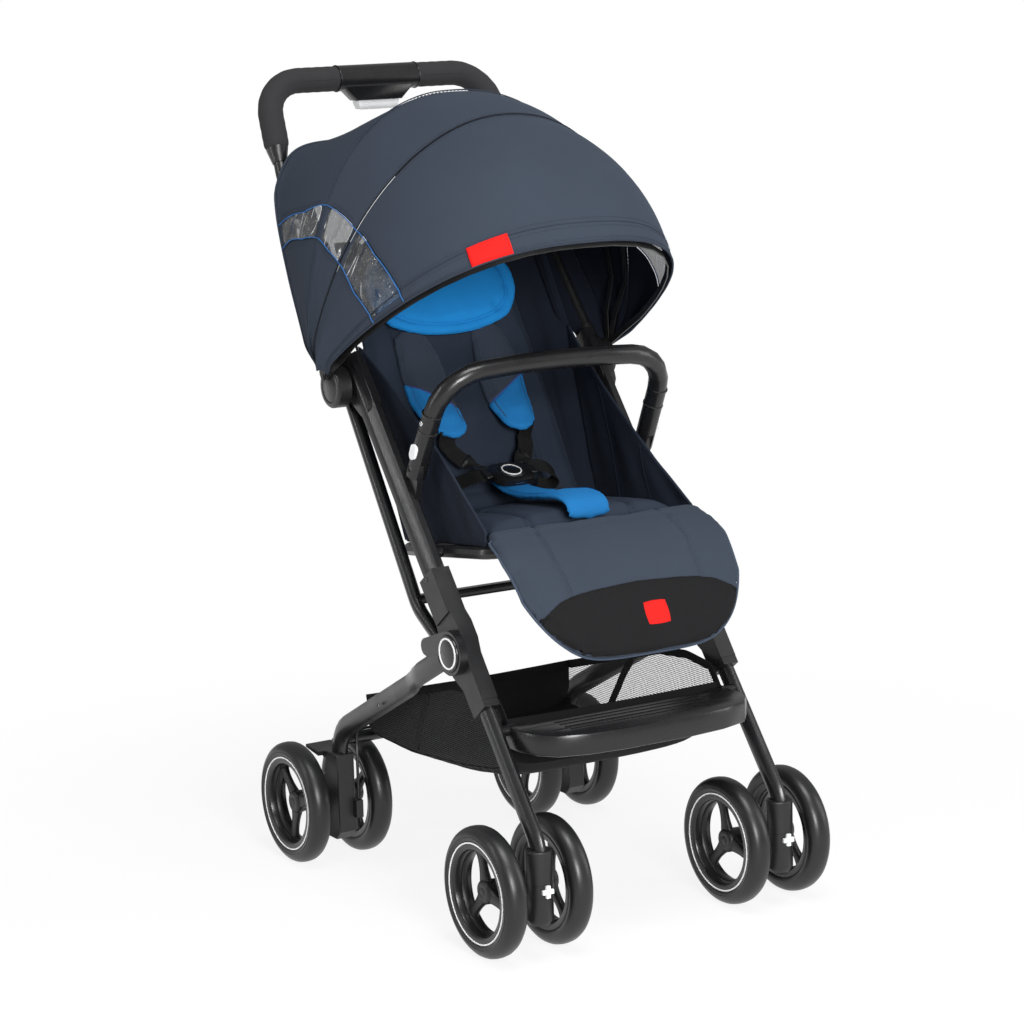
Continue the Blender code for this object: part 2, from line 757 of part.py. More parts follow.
def rear_leg_tube(name, side, grow=0.0):
    """The oval rear leg: close beside the hub, then drawn in over the rear wheels."""
    direction = Vector((cos(REAR_LEG_ANGLE), sin(REAR_LEG_ANGLE)))
    start = Vector(HUB) + direction * 0.012
    end = (REAR_LEG_CORNER[0], REAR_LEG_END_Z - grow)
    path = fillet([(0, *start), (0, *REAR_LEG_CORNER), (0, *end)], REAR_LEG_BEND, 5)
    straight = [path[0].lerp(path[1], share) for share in (0.23, 0.29, 0.35, 0.41)]
    leg = tube(name, [path[0], *straight, *path[1:]], REAR_LEG_DEPTH / 2 + grow)
    for vertex in leg.data.vertices:
        reach = (Vector((vertex.co.y, vertex.co.z)) - Vector(HUB)).length
        drawn = smooth((reach - 0.085) / 0.060)
        half_width = mix(0.0061, REAR_LEG_WIDTH / 2, drawn) + grow
        centre = mix(0.1930, REAR_WHEEL_X - 0.0005, drawn)
        vertex.co.x = side * (centre + vertex.co.x * side * half_width / (REAR_LEG_DEPTH / 2 + grow))
    leg.location = at(0, 0, 0)
    return leg


def mixed(first, second, share):
    return (mix(first[0], second[0], share), mix(first[1], second[1], share))


def rear_leg(side, body):
    leg = rear_leg_tube("rear_leg", side)
    head_outline = hull(circle(HUB, HEAD_RADIUS, 20), circle(LINK_LOW, 0.011, 12))
    head = plate("head", head_outline, side * HEAD_INNER_X, side * HEAD_OUTER_X)
    link_pin = pin("link_pin", LINK_LOW, side, 0.1650, 0.1900, LINK_PIN_RADIUS, 12)
    recess_floor = CAP_OUTER_X - CAP_THICKNESS - CLEARANCE
    recess = pin("recess", HUB, side, recess_floor, 0.2100, CAP_RADIUS + 0.0006, 20)
    bore = pin("bore", HUB, side, 0.1700, 0.2000, JOINT_PIN_RADIUS + CLEARANCE)
    socket = pin("cross_socket", CROSS_TUBE, side, 0.1600, 0.1755, CROSS_TUBE_RADIUS + CLEARANCE)
    fuse(leg, head, link_pin)
    cut(leg, recess, bore, socket)
    finished(leg, f"rear_leg_{side_name(side)}", FRAME_BLACK, body)


def rear_housing(side, body):
    """The rear wheel housing: leg socket above, axle below, and the end box of the brake cable."""
    x = side * REAR_WHEEL_X
    half = REAR_HOUSING_HALF_WIDTH
    top = REAR_HOUSING_TOP_Z
    axle = (REAR_AXLE_Y, WHEEL_RADIUS)
    outline = [(0.4525, top), (0.4198, top), (0.4198, 0.045), (0.430, 0.034), (0.452, 0.034)]
    for angle in range(-100, 65, 20):
        outline.append((axle[0] + 0.020 * cos(radians(angle)), axle[1] + 0.020 * sin(radians(angle))))
    outline.append((0.4525, 0.122))
    shell = plate("shell", outline, x - half, x + half)
    bevel(shell, 0.0025, 1, radians(60))
    boss = pin("boss", axle, 1, x - 0.0142, x + 0.0142, 0.0115, 12)
    axle_pin = pin("axle", axle, 1, x - AXLE_REACH, x + AXLE_REACH, AXLE_RADIUS, 10)
    box_outline = [(0.4100, 0.064), (0.4230, 0.064), (0.4230, 0.0872), (0.4100, 0.0872)]
    box = plate("box", box_outline, side * 0.1600, side * 0.1700)
    socket = rear_leg_tube("rear_socket", side, CLEARANCE)
    fuse(shell, boss, axle_pin, box)
    cut(shell, socket)
    finished(shell, f"rear_housing_{side_name(side)}", PLASTIC_BLACK, body)


def rear_cross_tube(body):
    reach = 0.1755 - CLEARANCE
    bar = rod("bar", at(-reach, *CROSS_TUBE), at(reach, *CROSS_TUBE), CROSS_TUBE_RADIUS, 16)
    finished(bar, "rear_cross_tube", FRAME_BLACK, body)


def brake_cable(body):
    """One cable from box to box, along the legs and over the cross tube."""
    radius = 0.002
    rise = CROSS_TUBE[1] + CROSS_TUBE_RADIUS + radius + 0.0004
    half = [
        (0.1632, 0.4165, 0.0876),
        (0.1632, 0.4165, 0.105),
        (0.1632, 0.4163, 0.125),
        (0.1630, 0.4170, 0.143),
        (0.1615, 0.4195, 0.158),
        (0.1575, 0.4260, 0.169),
        (0.1510, 0.4330, 0.1745),
        (0.1420, 0.4365, rise),
        (0.1250, CROSS_TUBE[0], rise),
    ]
    mirrored = [(-x, y, z) for x, y, z in reversed(half)]
    cable = tube("cable", [at(*p) for p in half + mirrored], radius, 8)
    finished(cable, "brake_cable", PLASTIC_BLACK, body)


def brake_pedal(body):
    """A foot lever behind the right rear housing, on a barrel along x."""
    barrel_centre = (0.4525 + CLEARANCE + 0.0047, REAR_HOUSING_TOP_Z - 0.006)
    barrel = pin("barrel", barrel_centre, -1, 0.1662, 0.1908, 0.0045, 12)
    y, z = barrel_centre
    lever_outline = [(y, z - 0.0015), (y + 0.034, z + 0.0035), (y + 0.034, z + 0.0075), (y, z + 0.0040)]
    lever = plate("lever", lever_outline, -0.1625, -0.1990)
    fuse(lever, barrel)
    finished(lever, "brake_pedal", PLASTIC_BLACK, body)
    return barrel_centre


def link_frame(body):
    """Two bent link tubes and the flat bar between them, welded into one frame."""
    corners = [LINK_LOW, LINK_BEND, LINK_TOP]
    frame = None
    for side in (1, -1):
        path = fillet([at(side * LINK_X, *c) for c in corners], 0.060, 4)
        low_end = path[0] + (path[0] - path[1]).normalized() * 0.008
        top_end = path[-1] + (path[-1] - path[-2]).normalized() * 0.008
        link = tube("link", [low_end, *path[1:-1], top_end], LINK_RADIUS, 10)
        top_pin = pin("top_pin", LINK_TOP, side, LINK_X, ELBOW_BOSS_X - 0.0004, 0.004, 12)
        fuse(link, top_pin)
        cut(link, pin("low_bore", LINK_LOW, side, 0.1600, 0.1850, LINK_PIN_RADIUS + CLEARANCE, 12))
        if frame is None:
            frame = link
        else:
            fuse(frame, link)
    y, z = LINK_BEND[0] + 0.004, LINK_BEND[1] + 0.010
    bar_outline = closed_fillet(
        [(y - 0.008, z - 0.0055), (y + 0.008, z - 0.0055), (y + 0.008, z + 0.0055), (y - 0.008, z + 0.0055)],
        0.003,
        2,
    )
    fuse(frame, plate("crossbar", bar_outline, -LINK_X, LINK_X))
    finished(frame, "link_frame", FRAME_BLACK, body)


# Handle


def handle_path():
    """Half of the handle's centre line, from the elbow up to the middle of the grip bar."""
    knee = Vector(HANDLE_KNEE)
    foot = Vector((HANDLE_LOW_X, *ELBOW))
    upward = (knee - foot).normalized()
    start = foot + upward * 0.022
    corner = Vector(HANDLE_CORNER)
    lower = fillet([start, knee, corner], 0.040, 2)[:-1]
    upper = fillet([knee, corner, (0, corner.y, corner.z)], HANDLE_CORNER_BEND, 6)[1:]
    return lower + upper, upward, (corner - knee).normalized()


def placed(points, side=1):
    return [at(side * p.x, p.y, p.z) for p in points]


def handle_tube(body):
    half, _, rise = handle_path()
    whole = placed(half) + placed(reversed(half[:-1]), -1)
    bar = tube("bar", whole, HANDLE_TUBE_RADIUS, 12)
    knee = Vector(HANDLE_KNEE)
    for side in (1, -1):
        low, high = placed([knee + rise * 0.0145, knee + rise * 0.0350], side)
        cone = rod("ferrule", low, high, 0.0150, 12)
        for vertex in cone.data.vertices:
            if vertex.co.z < 0:
                vertex.co.xy *= 0.65
        fuse(bar, cone)
    finished(bar, "handle_tube", FRAME_BLACK, body)


def handle_grip(side, body):
    """A foam sleeve round the bend of the handle, with its bore."""
    _, _, rise = handle_path()
    start = Vector(HANDLE_KNEE) + rise * (0.0350 + CLEARANCE)
    corner = Vector(HANDLE_CORNER)
    end = Vector((HANDLE_HUB_HALF + CLEARANCE, corner.y, corner.z))
    path = fillet([start, corner, end], HANDLE_CORNER_BEND, 6)
    grip = tube("grip", placed(path, side), GRIP_RADIUS, 12)
    longer = [start - rise * 0.01, *path[1:-1], end - Vector((0.01, 0, 0))]
    bore = tube("grip_bore", placed(longer, side), HANDLE_TUBE_RADIUS + CLEARANCE, 12)
    cut(grip, bore)
    finished(grip, f"handle_grip_{side_name(side)}", FOAM_BLACK, body)


def handle_hub(body):
    """The hub in the middle of the grip bar, with a funnel below that holds the squeeze button."""
    x, y, z = HANDLE_HUB_HALF, HANDLE_CORNER[1], HANDLE_CORNER[2]
    profile = [(0, x), (GRIP_RADIUS + 0.0006, x), (GRIP_RADIUS + 0.0006, -x), (0, -x)]
    barrel = turned("barrel", profile, 20, at(0, y, z))
    outline = [(-0.055, z - 0.010), (-0.0345, z - 0.030), (0.0345, z - 0.030), (0.055, z - 0.010),
               (0.030, z - 0.002), (-0.030, z - 0.002)]
    funnel = standing_plate("funnel", outline, y - 0.0125, y + 0.0125)
    bevel(funnel, 0.0035, 2, radians(60))
    bore = rod("hub_bore", at(-x - 0.01, y, z), at(x + 0.01, y, z), HANDLE_TUBE_RADIUS + CLEARANCE, 12)
    pocket_outline = [(-0.0315, z - 0.040), (0.0315, z - 0.040), (0.0315, z - 0.0125), (-0.0315, z - 0.0125)]
    pocket = standing_plate("pocket", pocket_outline, y - 0.0090, y + 0.0090)
    fuse(barrel, funnel)
    cut(barrel, bore, pocket)
    finished(barrel, "handle_hub", PLASTIC_BLACK, body)


def handle_button(body):
    y, z = HANDLE_CORNER[1], HANDLE_CORNER[2]
    outline = [(-0.0312, z - 0.0185), (-0.0312, z - 0.034), (-0.0275, z - 0.042), (0.0275, z - 0.042),
               (0.0312, z - 0.034), (0.0312, z - 0.0185)]
    button = standing_plate("button", outline, y - 0.0087, y + 0.0087)
    bevel(button, 0.002, 2, radians(50))
    finished(button, "handle_button", WHITE_PLASTIC, body)


def elbow_disc(side, body):
    """The disc on the elbow boss: socket for the handle tube, lug for the link, canopy pin."""
    _, upward, _ = handle_path()
    foot = Vector((HANDLE_LOW_X, *ELBOW))
    outline = hull(circle(ELBOW, DISC_RADIUS, 20), circle(LINK_TOP, 0.009, 12))
    lug = plate("lug", outline, side * DISC_INNER_X, side * 0.1985)
    disc_profile = [
        (0, DISC_OUTER_X),
        (DISC_RADIUS - 0.002, DISC_OUTER_X),
        (DISC_RADIUS, DISC_OUTER_X - 0.002),
        (DISC_RADIUS, DISC_INNER_X + 0.001),
        (0, DISC_INNER_X + 0.001),
    ]
    disc = turned("disc", disc_profile, 20, at(0, *ELBOW), side)
    start, end = placed([foot + upward * 0.018, foot + upward * 0.048], side)
    neck = rod("neck", start, end, NECK_RADIUS, 14)
    canopy_pin = pin("canopy_pin", CANOPY_PIVOT, side, DISC_OUTER_X - 0.003, 0.2166, 0.0028, 8)
    low, high = placed([foot + upward * 0.0215, foot + upward * 0.060], side)
    socket = rod("handle_socket", low, high, HANDLE_TUBE_RADIUS + CLEARANCE, 12)
    bore = pin("elbow_bore", ELBOW, side, 0.1800, 0.2040, JOINT_PIN_RADIUS + CLEARANCE)
    fuse(lug, disc, neck, canopy_pin)
    cut(lug, socket, bore)
    finished(lug, f"elbow_disc_{side_name(side)}", PLASTIC_BLACK, body)


# Bumper bar


def bumper_bar(body):
    """A padded bar, bent in its own plane, slotted at its ends for the tongues it turns on."""
    corners = [(BUMPER_X, BUMPER_START), (BUMPER_CORNER_X, BUMPER_REACH - 0.008), (0.060, BUMPER_REACH - 0.001)]
    half = [bumper_point(p.x, p.y) for p in fillet([(*c, 0) for c in corners], 0.060, 5)]
    half.append(bumper_point(0, BUMPER_REACH))
    mirror = Matrix.Diagonal((-1, 1, 1, 1))
    whole = half + [mirror @ p for p in reversed(half[:-1])]
    bar = tube("bar", whole, BUMPER_RADIUS, 12)
    for side in (1, -1):
        low, high = bumper_yz(BUMPER_START - 0.010), bumper_yz(BUMPER_SLOT_END)
        aside = (0.02 * sin(BUMPER_LEAN), -0.02 * cos(BUMPER_LEAN))
        outline = [
            (low[0] - aside[0], low[1] - aside[1]),
            (low[0] + aside[0], low[1] + aside[1]),
            (high[0] + aside[0], high[1] + aside[1]),
            (high[0] - aside[0], high[1] - aside[1]),
        ]
        middle, half_slot = side * BUMPER_X, TONGUE_HALF + CLEARANCE
        cut(bar, plate("slot", outline, middle - half_slot, middle + half_slot))
        hinge = bumper_yz(BUMPER_HINGE)
        bore = pin("bore", hinge, side, 0.150, 0.186, BUMPER_PIN_RADIUS + CLEARANCE, 10)
        cut(bar, bore, release_shape("release_recess", side, CLEARANCE, 0.1728, 0.1850))
    finished(bar, "bumper_bar", PLASTIC_BLACK, body)


def release_shape(name, side, grow, x_from, x_to):
    """The oval of a release button, long side along the bumper's arm."""
    centre = Vector((BUMPER_BASE[0], BUMPER_BASE[1]))
    along = Vector((cos(BUMPER_LEAN), sin(BUMPER_LEAN)))
    ends = [centre + along * (RELEASE_CENTRE + shift) for shift in (-0.0048, 0.0048)]
    outline = hull(*(circle(end, 0.0058 + grow, 12) for end in ends))
    return plate(name, outline, side * x_from, side * x_to)


def bumper_button(side, body):
    button = release_shape("release", side, 0.0, 0.1756, 0.1815)
    finished(button, f"bumper_button_{side_name(side)}", WHITE_PLASTIC, body)


# Soft seat


def seat_top(y):
    """Height of the seat cushion's middle surface."""
    return mix(0.4857, 0.4637, (y - 0.105) / 0.190)


def seat_cushion(body):
    def surface(u, v):
        y = mix(0.105, 0.295, (v + 1) / 2)
        return at(u * SEAT_HALF_WIDTH, y, seat_top(y) - 0.004 * u * u)

    def fullness(u, v):
        return crown(u, v) * channel(abs(u), 0.55)

    cushion = padded("cushion", 12, 7, surface, CUSHION_THICKNESS, fullness)
    finished(cushion, "seat_cushion", NAVY_CLOTH, body)


def wing_x(y):
    bow = 0.33 if y < 0.23 else 0.60
    return 0.1435 + bow * (y - 0.23) ** 2


def seat_wing(side, body):
    """A side panel between seat and backrest, with soft upright folds."""
    def surface(u, v):
        along, up = (u + 1) / 2, (v + 1) / 2
        bottom = Vector((mix(0.103, 0.296, along), mix(0.4724, 0.4473, along)))
        top = Vector((mix(0.101, 0.385, along), mix(0.4965, 0.690, along)))
        place = bottom.lerp(top, up)
        fold = 0.0016 * sin(along * 5 * pi) * sin(up * pi)
        return at(side * (wing_x(place.x) + fold), place.x, place.y)

    wing = padded("wing", 12, 4, surface, WING_THICKNESS)
    finished(wing, f"seat_wing_{side_name(side)}", NAVY_CLOTH, body)


def calf_rest(body):
    """The padded rest that hangs from the front rail, rounded at its lower end."""
    bend = RAIL_RADIUS + 0.0089
    path = [
        (FRONT_RAIL[0] + bend * cos(a), FRONT_RAIL[1] + bend * sin(a))
        for a in (radians(102), radians(116), radians(130))
    ]
    path += [(0.044, 0.4640), (0.018, 0.4380), (-0.006, 0.4020), (-0.024, 0.3700), (-0.034, 0.3420)]

    def surface(u, v):
        down = (1 - v) / 2
        drop = down * (1 - 0.36 * abs(u) ** 3.2 * down)
        place = drop * (len(path) - 1)
        step = min(int(place), len(path) - 2)
        y, z = mixed(path[step], path[step + 1], place - step)
        half = 0.160 - 0.022 * down * down
        return at(u * half, y, z)

    def fullness(u, v):
        return crown(u, v, 0.40) * channel(abs(u), 0.62, 0.10, 0.25)

    pad = padded("calf", 12, 9, surface, 0.018, fullness)
    finished(pad, "calf_rest", SLATE_CLOTH, body)


def back_point(x, up, out):
    """A point on the backrest: up from its hinge, out towards the child."""
    y = REAR_RAIL[0] + up * cos(BACK_ANGLE) - out * sin(BACK_ANGLE)
    z = REAR_RAIL[1] + up * sin(BACK_ANGLE) + out * cos(BACK_ANGLE)
    return at(x, y, z)


def backrest(body):
    def surface(u, v):
        up = mix(RAIL_RADIUS + CLEARANCE, BACK_LENGTH, (v + 1) / 2)
        half = mix(SEAT_HALF_WIDTH - 0.003, 0.126, (v + 1) / 2)
        return back_point(u * half, up, 0.004 * u * u)

    def fullness(u, v):
        return crown(u, v, 0.35) * channel(v, 0.02) * channel(abs(u), 0.60)

    pad = padded("back", 10, 11, surface, BACK_THICKNESS, fullness)
    finished(pad, "backrest", NAVY_CLOTH, body)


def rounded_square(u, v):
    """A square grid pressed into an oval."""
    return u * (1 - v * v / 2.6) ** 0.5, v * (1 - u * u / 2.6) ** 0.5


def headrest(body):
    thickness = 0.026

    def surface(u, v):
        a, b = rounded_square(u, v)
        return back_point(a * 0.115, 0.340 + b * 0.064, 0.0102 + thickness / 2 + 0.006 * a * a)

    pad = padded("head", 10, 6, surface, thickness, lambda u, v: crown(u, v, 0.35))
    finished(pad, "headrest", BLUE_CLOTH, body)


def shoulder_pad(side, body):
    thickness = 0.015

    def surface(u, v):
        up = mix(0.128, 0.270, (v + 1) / 2)
        lift = 0.0107 + thickness / 2 + 0.024 * smooth((0.19 - up) / 0.07)
        centre = mix(0.060, 0.056, (v + 1) / 2)
        return back_point(side * centre + u * 0.0265, up, lift)

    pad = padded("shoulder", 5, 8, surface, thickness, lambda u, v: crown(u, v, 0.45))
    finished(pad, f"shoulder_pad_{side_name(side)}", SLATE_CLOTH, body)


BUCKLE = (0.0, 0.280, 0.5195)
BUCKLE_TILT = radians(20)
BUCKLE_HALF = 0.0065


def buckle_place():
    return Matrix.Translation(at(*BUCKLE)) @ Matrix.Rotation(BUCKLE_TILT, 4, "X")


def buckle(body):
    """A rounded buckle, tipped towards the front, with a pocket for its button."""
    half = BUCKLE_HALF
    corners = [(-0.031, -0.016), (-0.020, -0.026), (0.020, -0.026), (0.031, -0.016),
               (0.031, 0.016), (0.020, 0.026), (-0.020, 0.026), (-0.031, 0.016)]
    shell = lying_plate("shell", closed_fillet(corners, 0.006, 2), -half, half, buckle_place())
    pocket = lying_plate("pocket", circle((0, 0), 0.0152, 20), half - 0.0042, half + 0.01, buckle_place())
    cut(shell, pocket)
    finished(shell, "buckle", PLASTIC_BLACK, body)


def buckle_button(body):
    low, top = BUCKLE_HALF - 0.0018, BUCKLE_HALF + 0.0006
    disc = lying_plate("disc", circle((0, 0), 0.0149, 20), low, top, buckle_place())
    finished(disc, "buckle_button", PLASTIC_BLACK, body)


def crotch_pad(body):
    """The soft pad along the crotch strap, under the buckle and folded over at the front."""
    top = CUSHION_THICKNESS / 2 + 0.0007
    thickness = 0.008

    def surface(u, v):
        share = (v + 1) / 2
        y = mix(0.118, 0.302, share)
        lift = top + thickness / 2 + 0.010 * smooth((0.160 - y) / 0.04)
        width = mix(0.031, 0.022, smooth((y - 0.13) / 0.06))
        under_buckle = BUCKLE[2] + tan(BUCKLE_TILT) * (y - BUCKLE[1])
        under_buckle -= (BUCKLE_HALF + thickness / 2 + 0.0006) / cos(BUCKLE_TILT)
        return at(u * width, y, max(seat_top(y) + lift, under_buckle))

    pad = padded("crotch", 5, 10, surface, thickness, lambda u, v: crown(u, v, 0.5))
    finished(pad, "crotch_pad", BLUE_CLOTH, body)


def harness_webbing(body):
    """Flat webbing from one shoulder pad round behind the buckle to the other."""
    half_width, thickness = 0.011, 0.0022
    low = back_point(0.060, 0.126, 0.043)
    side_run = [
        Vector((low.x, low.y - FRONT_AXLE_Y - 0.004, low.z - 0.004)),
        Vector((0.0570, 0.336, 0.553)),
        Vector((0.0500, 0.326, 0.542)),
        Vector((0.0430, 0.3165, 0.535)),
        Vector((0.0340, 0.3125, 0.5315)),
    ]
    inner = Vector((0.0, 0.3120, 0.5310))
    line = side_run + [inner] + [Vector((-p.x, p.y, p.z)) for p in reversed(side_run)]

    def surface(u, v):
        place = (u + 1) / 2 * (len(line) - 1)
        step = min(int(place), len(line) - 2)
        centre = line[step].lerp(line[step + 1], place - step)
        turn = smooth((abs(centre.x) - 0.030) / 0.018)
        wide = Vector((0, 0.35, 0.94)).lerp(Vector((1, 0.45, 0.35)), turn)
        if centre.x < 0:
            wide.x = -wide.x
        wide.normalize()
        spot = centre + wide * v * half_width * mix(0.55, 1.0, turn)
        return at(*spot)

    strap = padded("webbing", 20, 2, surface, thickness)
    finished(strap, "harness_webbing", WEBBING_BLACK, body)


# Basket


def basket(body):
    """A cloth and mesh tub between the legs, open at the top."""
    low = [(0.050, 0.200), (0.110, 0.176), (0.180, 0.164), (0.317, 0.157), (0.398, 0.164)]
    high = [(0.396, 0.196), (0.180, 0.284), (0.118, 0.290), (0.066, 0.284), (0.052, 0.240)]
    tub = plate("tub", low + high, -BASKET_HALF_WIDTH, BASKET_HALF_WIDTH)
    work = bmesh.new()
    work.from_mesh(tub.data)
    rim = {(round(y, 4), round(z, 4)) for y, z in high[:-1]}
    lid = []
    for face in work.faces:
        places = {(round(v.co.x, 4), round(v.co.y, 4)) for v in face.verts}
        if places <= rim and abs(face.normal.z) < 0.5:
            lid.append(face)
    bmesh.ops.delete(work, geom=lid, context="FACES")
    work.to_mesh(tub.data)
    work.free()
    wall = tub.modifiers.new("Solidify", "SOLIDIFY")
    wall.thickness = BASKET_WALL
    wall.offset = -1
    wall.use_even_offset = True
    tab_outline = [(0.0475, 0.248), (0.062, 0.248), (0.066, 0.264), (0.0515, 0.264)]
    leg_face = LEG_X - FRONT_LEG_WIDTH / 2 - CLEARANCE
    for side in (1, -1):
        fuse(tub, plate("tab", tab_outline, side * (BASKET_HALF_WIDTH - 0.0012), side * leg_face))
    finished(tub, "basket", MESH_BLACK, body)


# Canopy


def hoop_point(hoop, t):
    """(x, reach) of a hoop seen at angle t from its left foot, pi at its right foot."""
    _, half_width, height, roundness = hoop
    along, up = abs(cos(t)) / half_width, sin(t) / height
    scale = (along**roundness + up**roundness) ** (-1 / roundness)
    return scale * cos(t), scale * sin(t)


def hoop_start(hoop, reach):
    """The angle at which a hoop reaches a given height over its foot."""
    low, high = 0.0, pi / 2
    for _ in range(30):
        middle = (low + high) / 2
        if hoop_point(hoop, middle)[1] < reach:
            low = middle
        else:
            high = middle
    return low


def canopy_place(x, reach, angle, beside=0.0):
    """From hoop coordinates to the stroller's frame; beside is across the hoop's plane."""
    direction = Vector((cos(radians(angle)), sin(radians(angle))))
    normal = Vector((-direction.y, direction.x))
    place = Vector(CANOPY_PIVOT) + direction * reach + normal * beside
    return at(x, *place)


def shrunk(hoop, amount):
    angle, half_width, height, roundness = hoop
    return (angle, half_width - amount, height - amount, roundness)


def canopy_bow(key, body):
    """A flat strip bent over the stroller inside the fabric, with an eye at each end."""
    inset = FABRIC_THICKNESS + 0.0016 + BOW_THICKNESS / 2
    hoop = shrunk(CANOPY_HOOPS[key], inset)
    foot = BOW_EYE_X[key]
    start = hoop_start(hoop, 0.090)
    steps = 20
    arch = [hoop_point(hoop, mix(start, pi - start, step / steps)) for step in range(steps + 1)]
    line = [(foot, -0.0045), (foot, 0.0), (foot, 0.045), *arch, (-foot, 0.045), (-foot, 0.0), (-foot, -0.0045)]
    shape = poly_curve("bow", [Vector((x, reach, 0)) for x, reach in line], "2D")
    shape.data.fill_mode = "NONE"
    shape.data.extrude = BOW_WIDTH / 2
    strip = as_mesh(shape)
    angle = radians(CANOPY_HOOPS[key][0])
    axes = Matrix(((1, 0, 0), (0, cos(angle), -sin(angle)), (0, sin(angle), cos(angle)))).to_4x4()
    strip.matrix_world = Matrix.Translation(at(0, *CANOPY_PIVOT)) @ axes
    solidify = strip.modifiers.new("Solidify", "SOLIDIFY")
    solidify.thickness = BOW_THICKNESS
    solidify.offset = 0
    for side in (1, -1):
        cut(strip, pin("eye", CANOPY_PIVOT, side, 0.2060, 0.2200, 0.0031, 10))
    finished(strip, f"canopy_{key}", PLASTIC_BLACK, body)


def canopy_panel(name, first, second, sag, columns, rows, finish, body):
    """Cloth stretched from one hoop to the next, sagging a little between them."""
    start, end = CANOPY_HOOPS[first], CANOPY_HOOPS[second]

    def surface(u, v):
        share = (v + 1) / 2
        hoop = [mix(a, b, share) for a, b in zip(start, end)]
        hoop[1] -= FABRIC_THICKNESS / 2
        hoop[2] -= FABRIC_THICKNESS / 2 + sag * sin(pi * share)
        low = hoop_start(hoop, CANOPY_LOW_REACH)
        x, reach = hoop_point(hoop, mix(low, pi - low, (u + 1) / 2))
        angle = hoop[0]
        if first == "rear_edge":
            x *= 1 - 0.40 * reach * (1 - share)
            angle += 4.0 * smooth((reach - 0.260) / 0.045) * (1 - share)
        beside = (0.0003 if v < -0.999 else 0) - (0.0003 if v > 0.999 else 0)
        return canopy_place(x, reach, angle, beside)

    cloth = padded("cloth", columns, rows, surface, FABRIC_THICKNESS)
    finished(cloth, name, finish, body)


# Assembly


def build():
    frame = body_empty("main_frame", at(0, 0, 0))
    fold = body_empty("rear_frame", at(0, *HUB), frame)
    handle = body_empty("handle_frame", at(0, *ELBOW), frame)
    link = body_empty("link", at(0, *LINK_LOW), fold)
    bows = {key: body_empty(f"{key}_axis", at(0, *CANOPY_PIVOT), handle) for key in BOW_EYE_X}
    bumper = body_empty("bumper", bumper_point(0, BUMPER_HINGE), frame)
    back = body_empty("back", at(0, *REAR_RAIL), frame)
    calf = body_empty("calf", at(0, *FRONT_RAIL), frame)

    for side in (1, -1):
        front_leg(side, frame)
        front_housing(side, frame)
        mid_tube(side, frame)
        hub_housing(side, frame)
        seat_wing(side, frame)
    footrest(frame)
    seat_frame(frame)
    seat_cushion(frame)
    basket(frame)
    crotch_pad(frame)
    buckle(frame)
    buckle_button(body_empty("buckle_press", at(*BUCKLE), frame))
    harness_webbing(frame)

    shared_wheel = wheel_mesh()
    for side in (1, -1):
        name = side_name(side)
        caster = body_empty(f"caster_{name}", at(side * LEG_X, CASTER_Y, CASTER_SPLIT_Z), frame)
        caster_yoke(side, caster)
        lock_place = at(side * LEG_X, CASTER_Y - CASTER_RADIUS, 0.0885)
        caster_lock(side, body_empty(f"lock_{name}", lock_place, frame))
        for place, outward in (("outer", side), ("inner", -side)):
            front = at(side * LEG_X + outward * WHEEL_OFFSET, 0, WHEEL_RADIUS)
            spin = radians(WHEEL_SPIN["front"])
            wheel(f"front_wheel_{name}_{place}", shared_wheel, front, outward, spin, caster)
            rear = at(side * REAR_WHEEL_X + outward * WHEEL_OFFSET, REAR_AXLE_Y, WHEEL_RADIUS)
            spin = radians(WHEEL_SPIN["rear"])
            wheel(f"rear_wheel_{name}_{place}", shared_wheel, rear, outward, spin, fold)
        rear_leg(side, fold)
        rear_housing(side, fold)
    rear_cross_tube(fold)
    brake_cable(fold)
    barrel = (0.4525 + CLEARANCE + 0.0047, REAR_HOUSING_TOP_Z - 0.006)
    brake_pedal(body_empty("pedal", at(-REAR_WHEEL_X, *barrel), fold))
    link_frame(link)

    handle_tube(handle)
    handle_hub(handle)
    handle_button(body_empty("squeeze", at(0, HANDLE_CORNER[1], HANDLE_CORNER[2] - 0.034), handle))
    for side in (1, -1):
        handle_grip(side, handle)
        elbow_disc(side, handle)
    for key, empty in bows.items():
        canopy_bow(key, empty)
    canopy_panel("canopy_rear_panel", "rear_edge", "rear_bow", 0.004, 24, 4, NAVY_CLOTH, handle)
    canopy_panel("canopy_mid_panel", "rear_bow", "mid_bow", 0.003, 24, 3, SLATE_CLOTH, bows["rear_bow"])
    canopy_panel("canopy_front_panel", "mid_bow", "front_bow", 0.003, 24, 5, SLATE_CLOTH, bows["front_bow"])

    bumper_bar(bumper)
    for side in (1, -1):
        press = bumper_point(side * (BUMPER_X + 0.010), RELEASE_CENTRE)
        bumper_button(side, body_empty(f"release_{side_name(side)}", press, bumper))

    backrest(back)
    headrest(back)
    for side in (1, -1):
        shoulder_pad(side, back)
    calf_rest(calf)


build()
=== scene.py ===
from math import atan2, cos, degrees, exp, pi, radians, sin, tan

import bmesh
import bpy
from mathutils import Matrix, Vector, noise
from mathutils.bvhtree import BVHTree


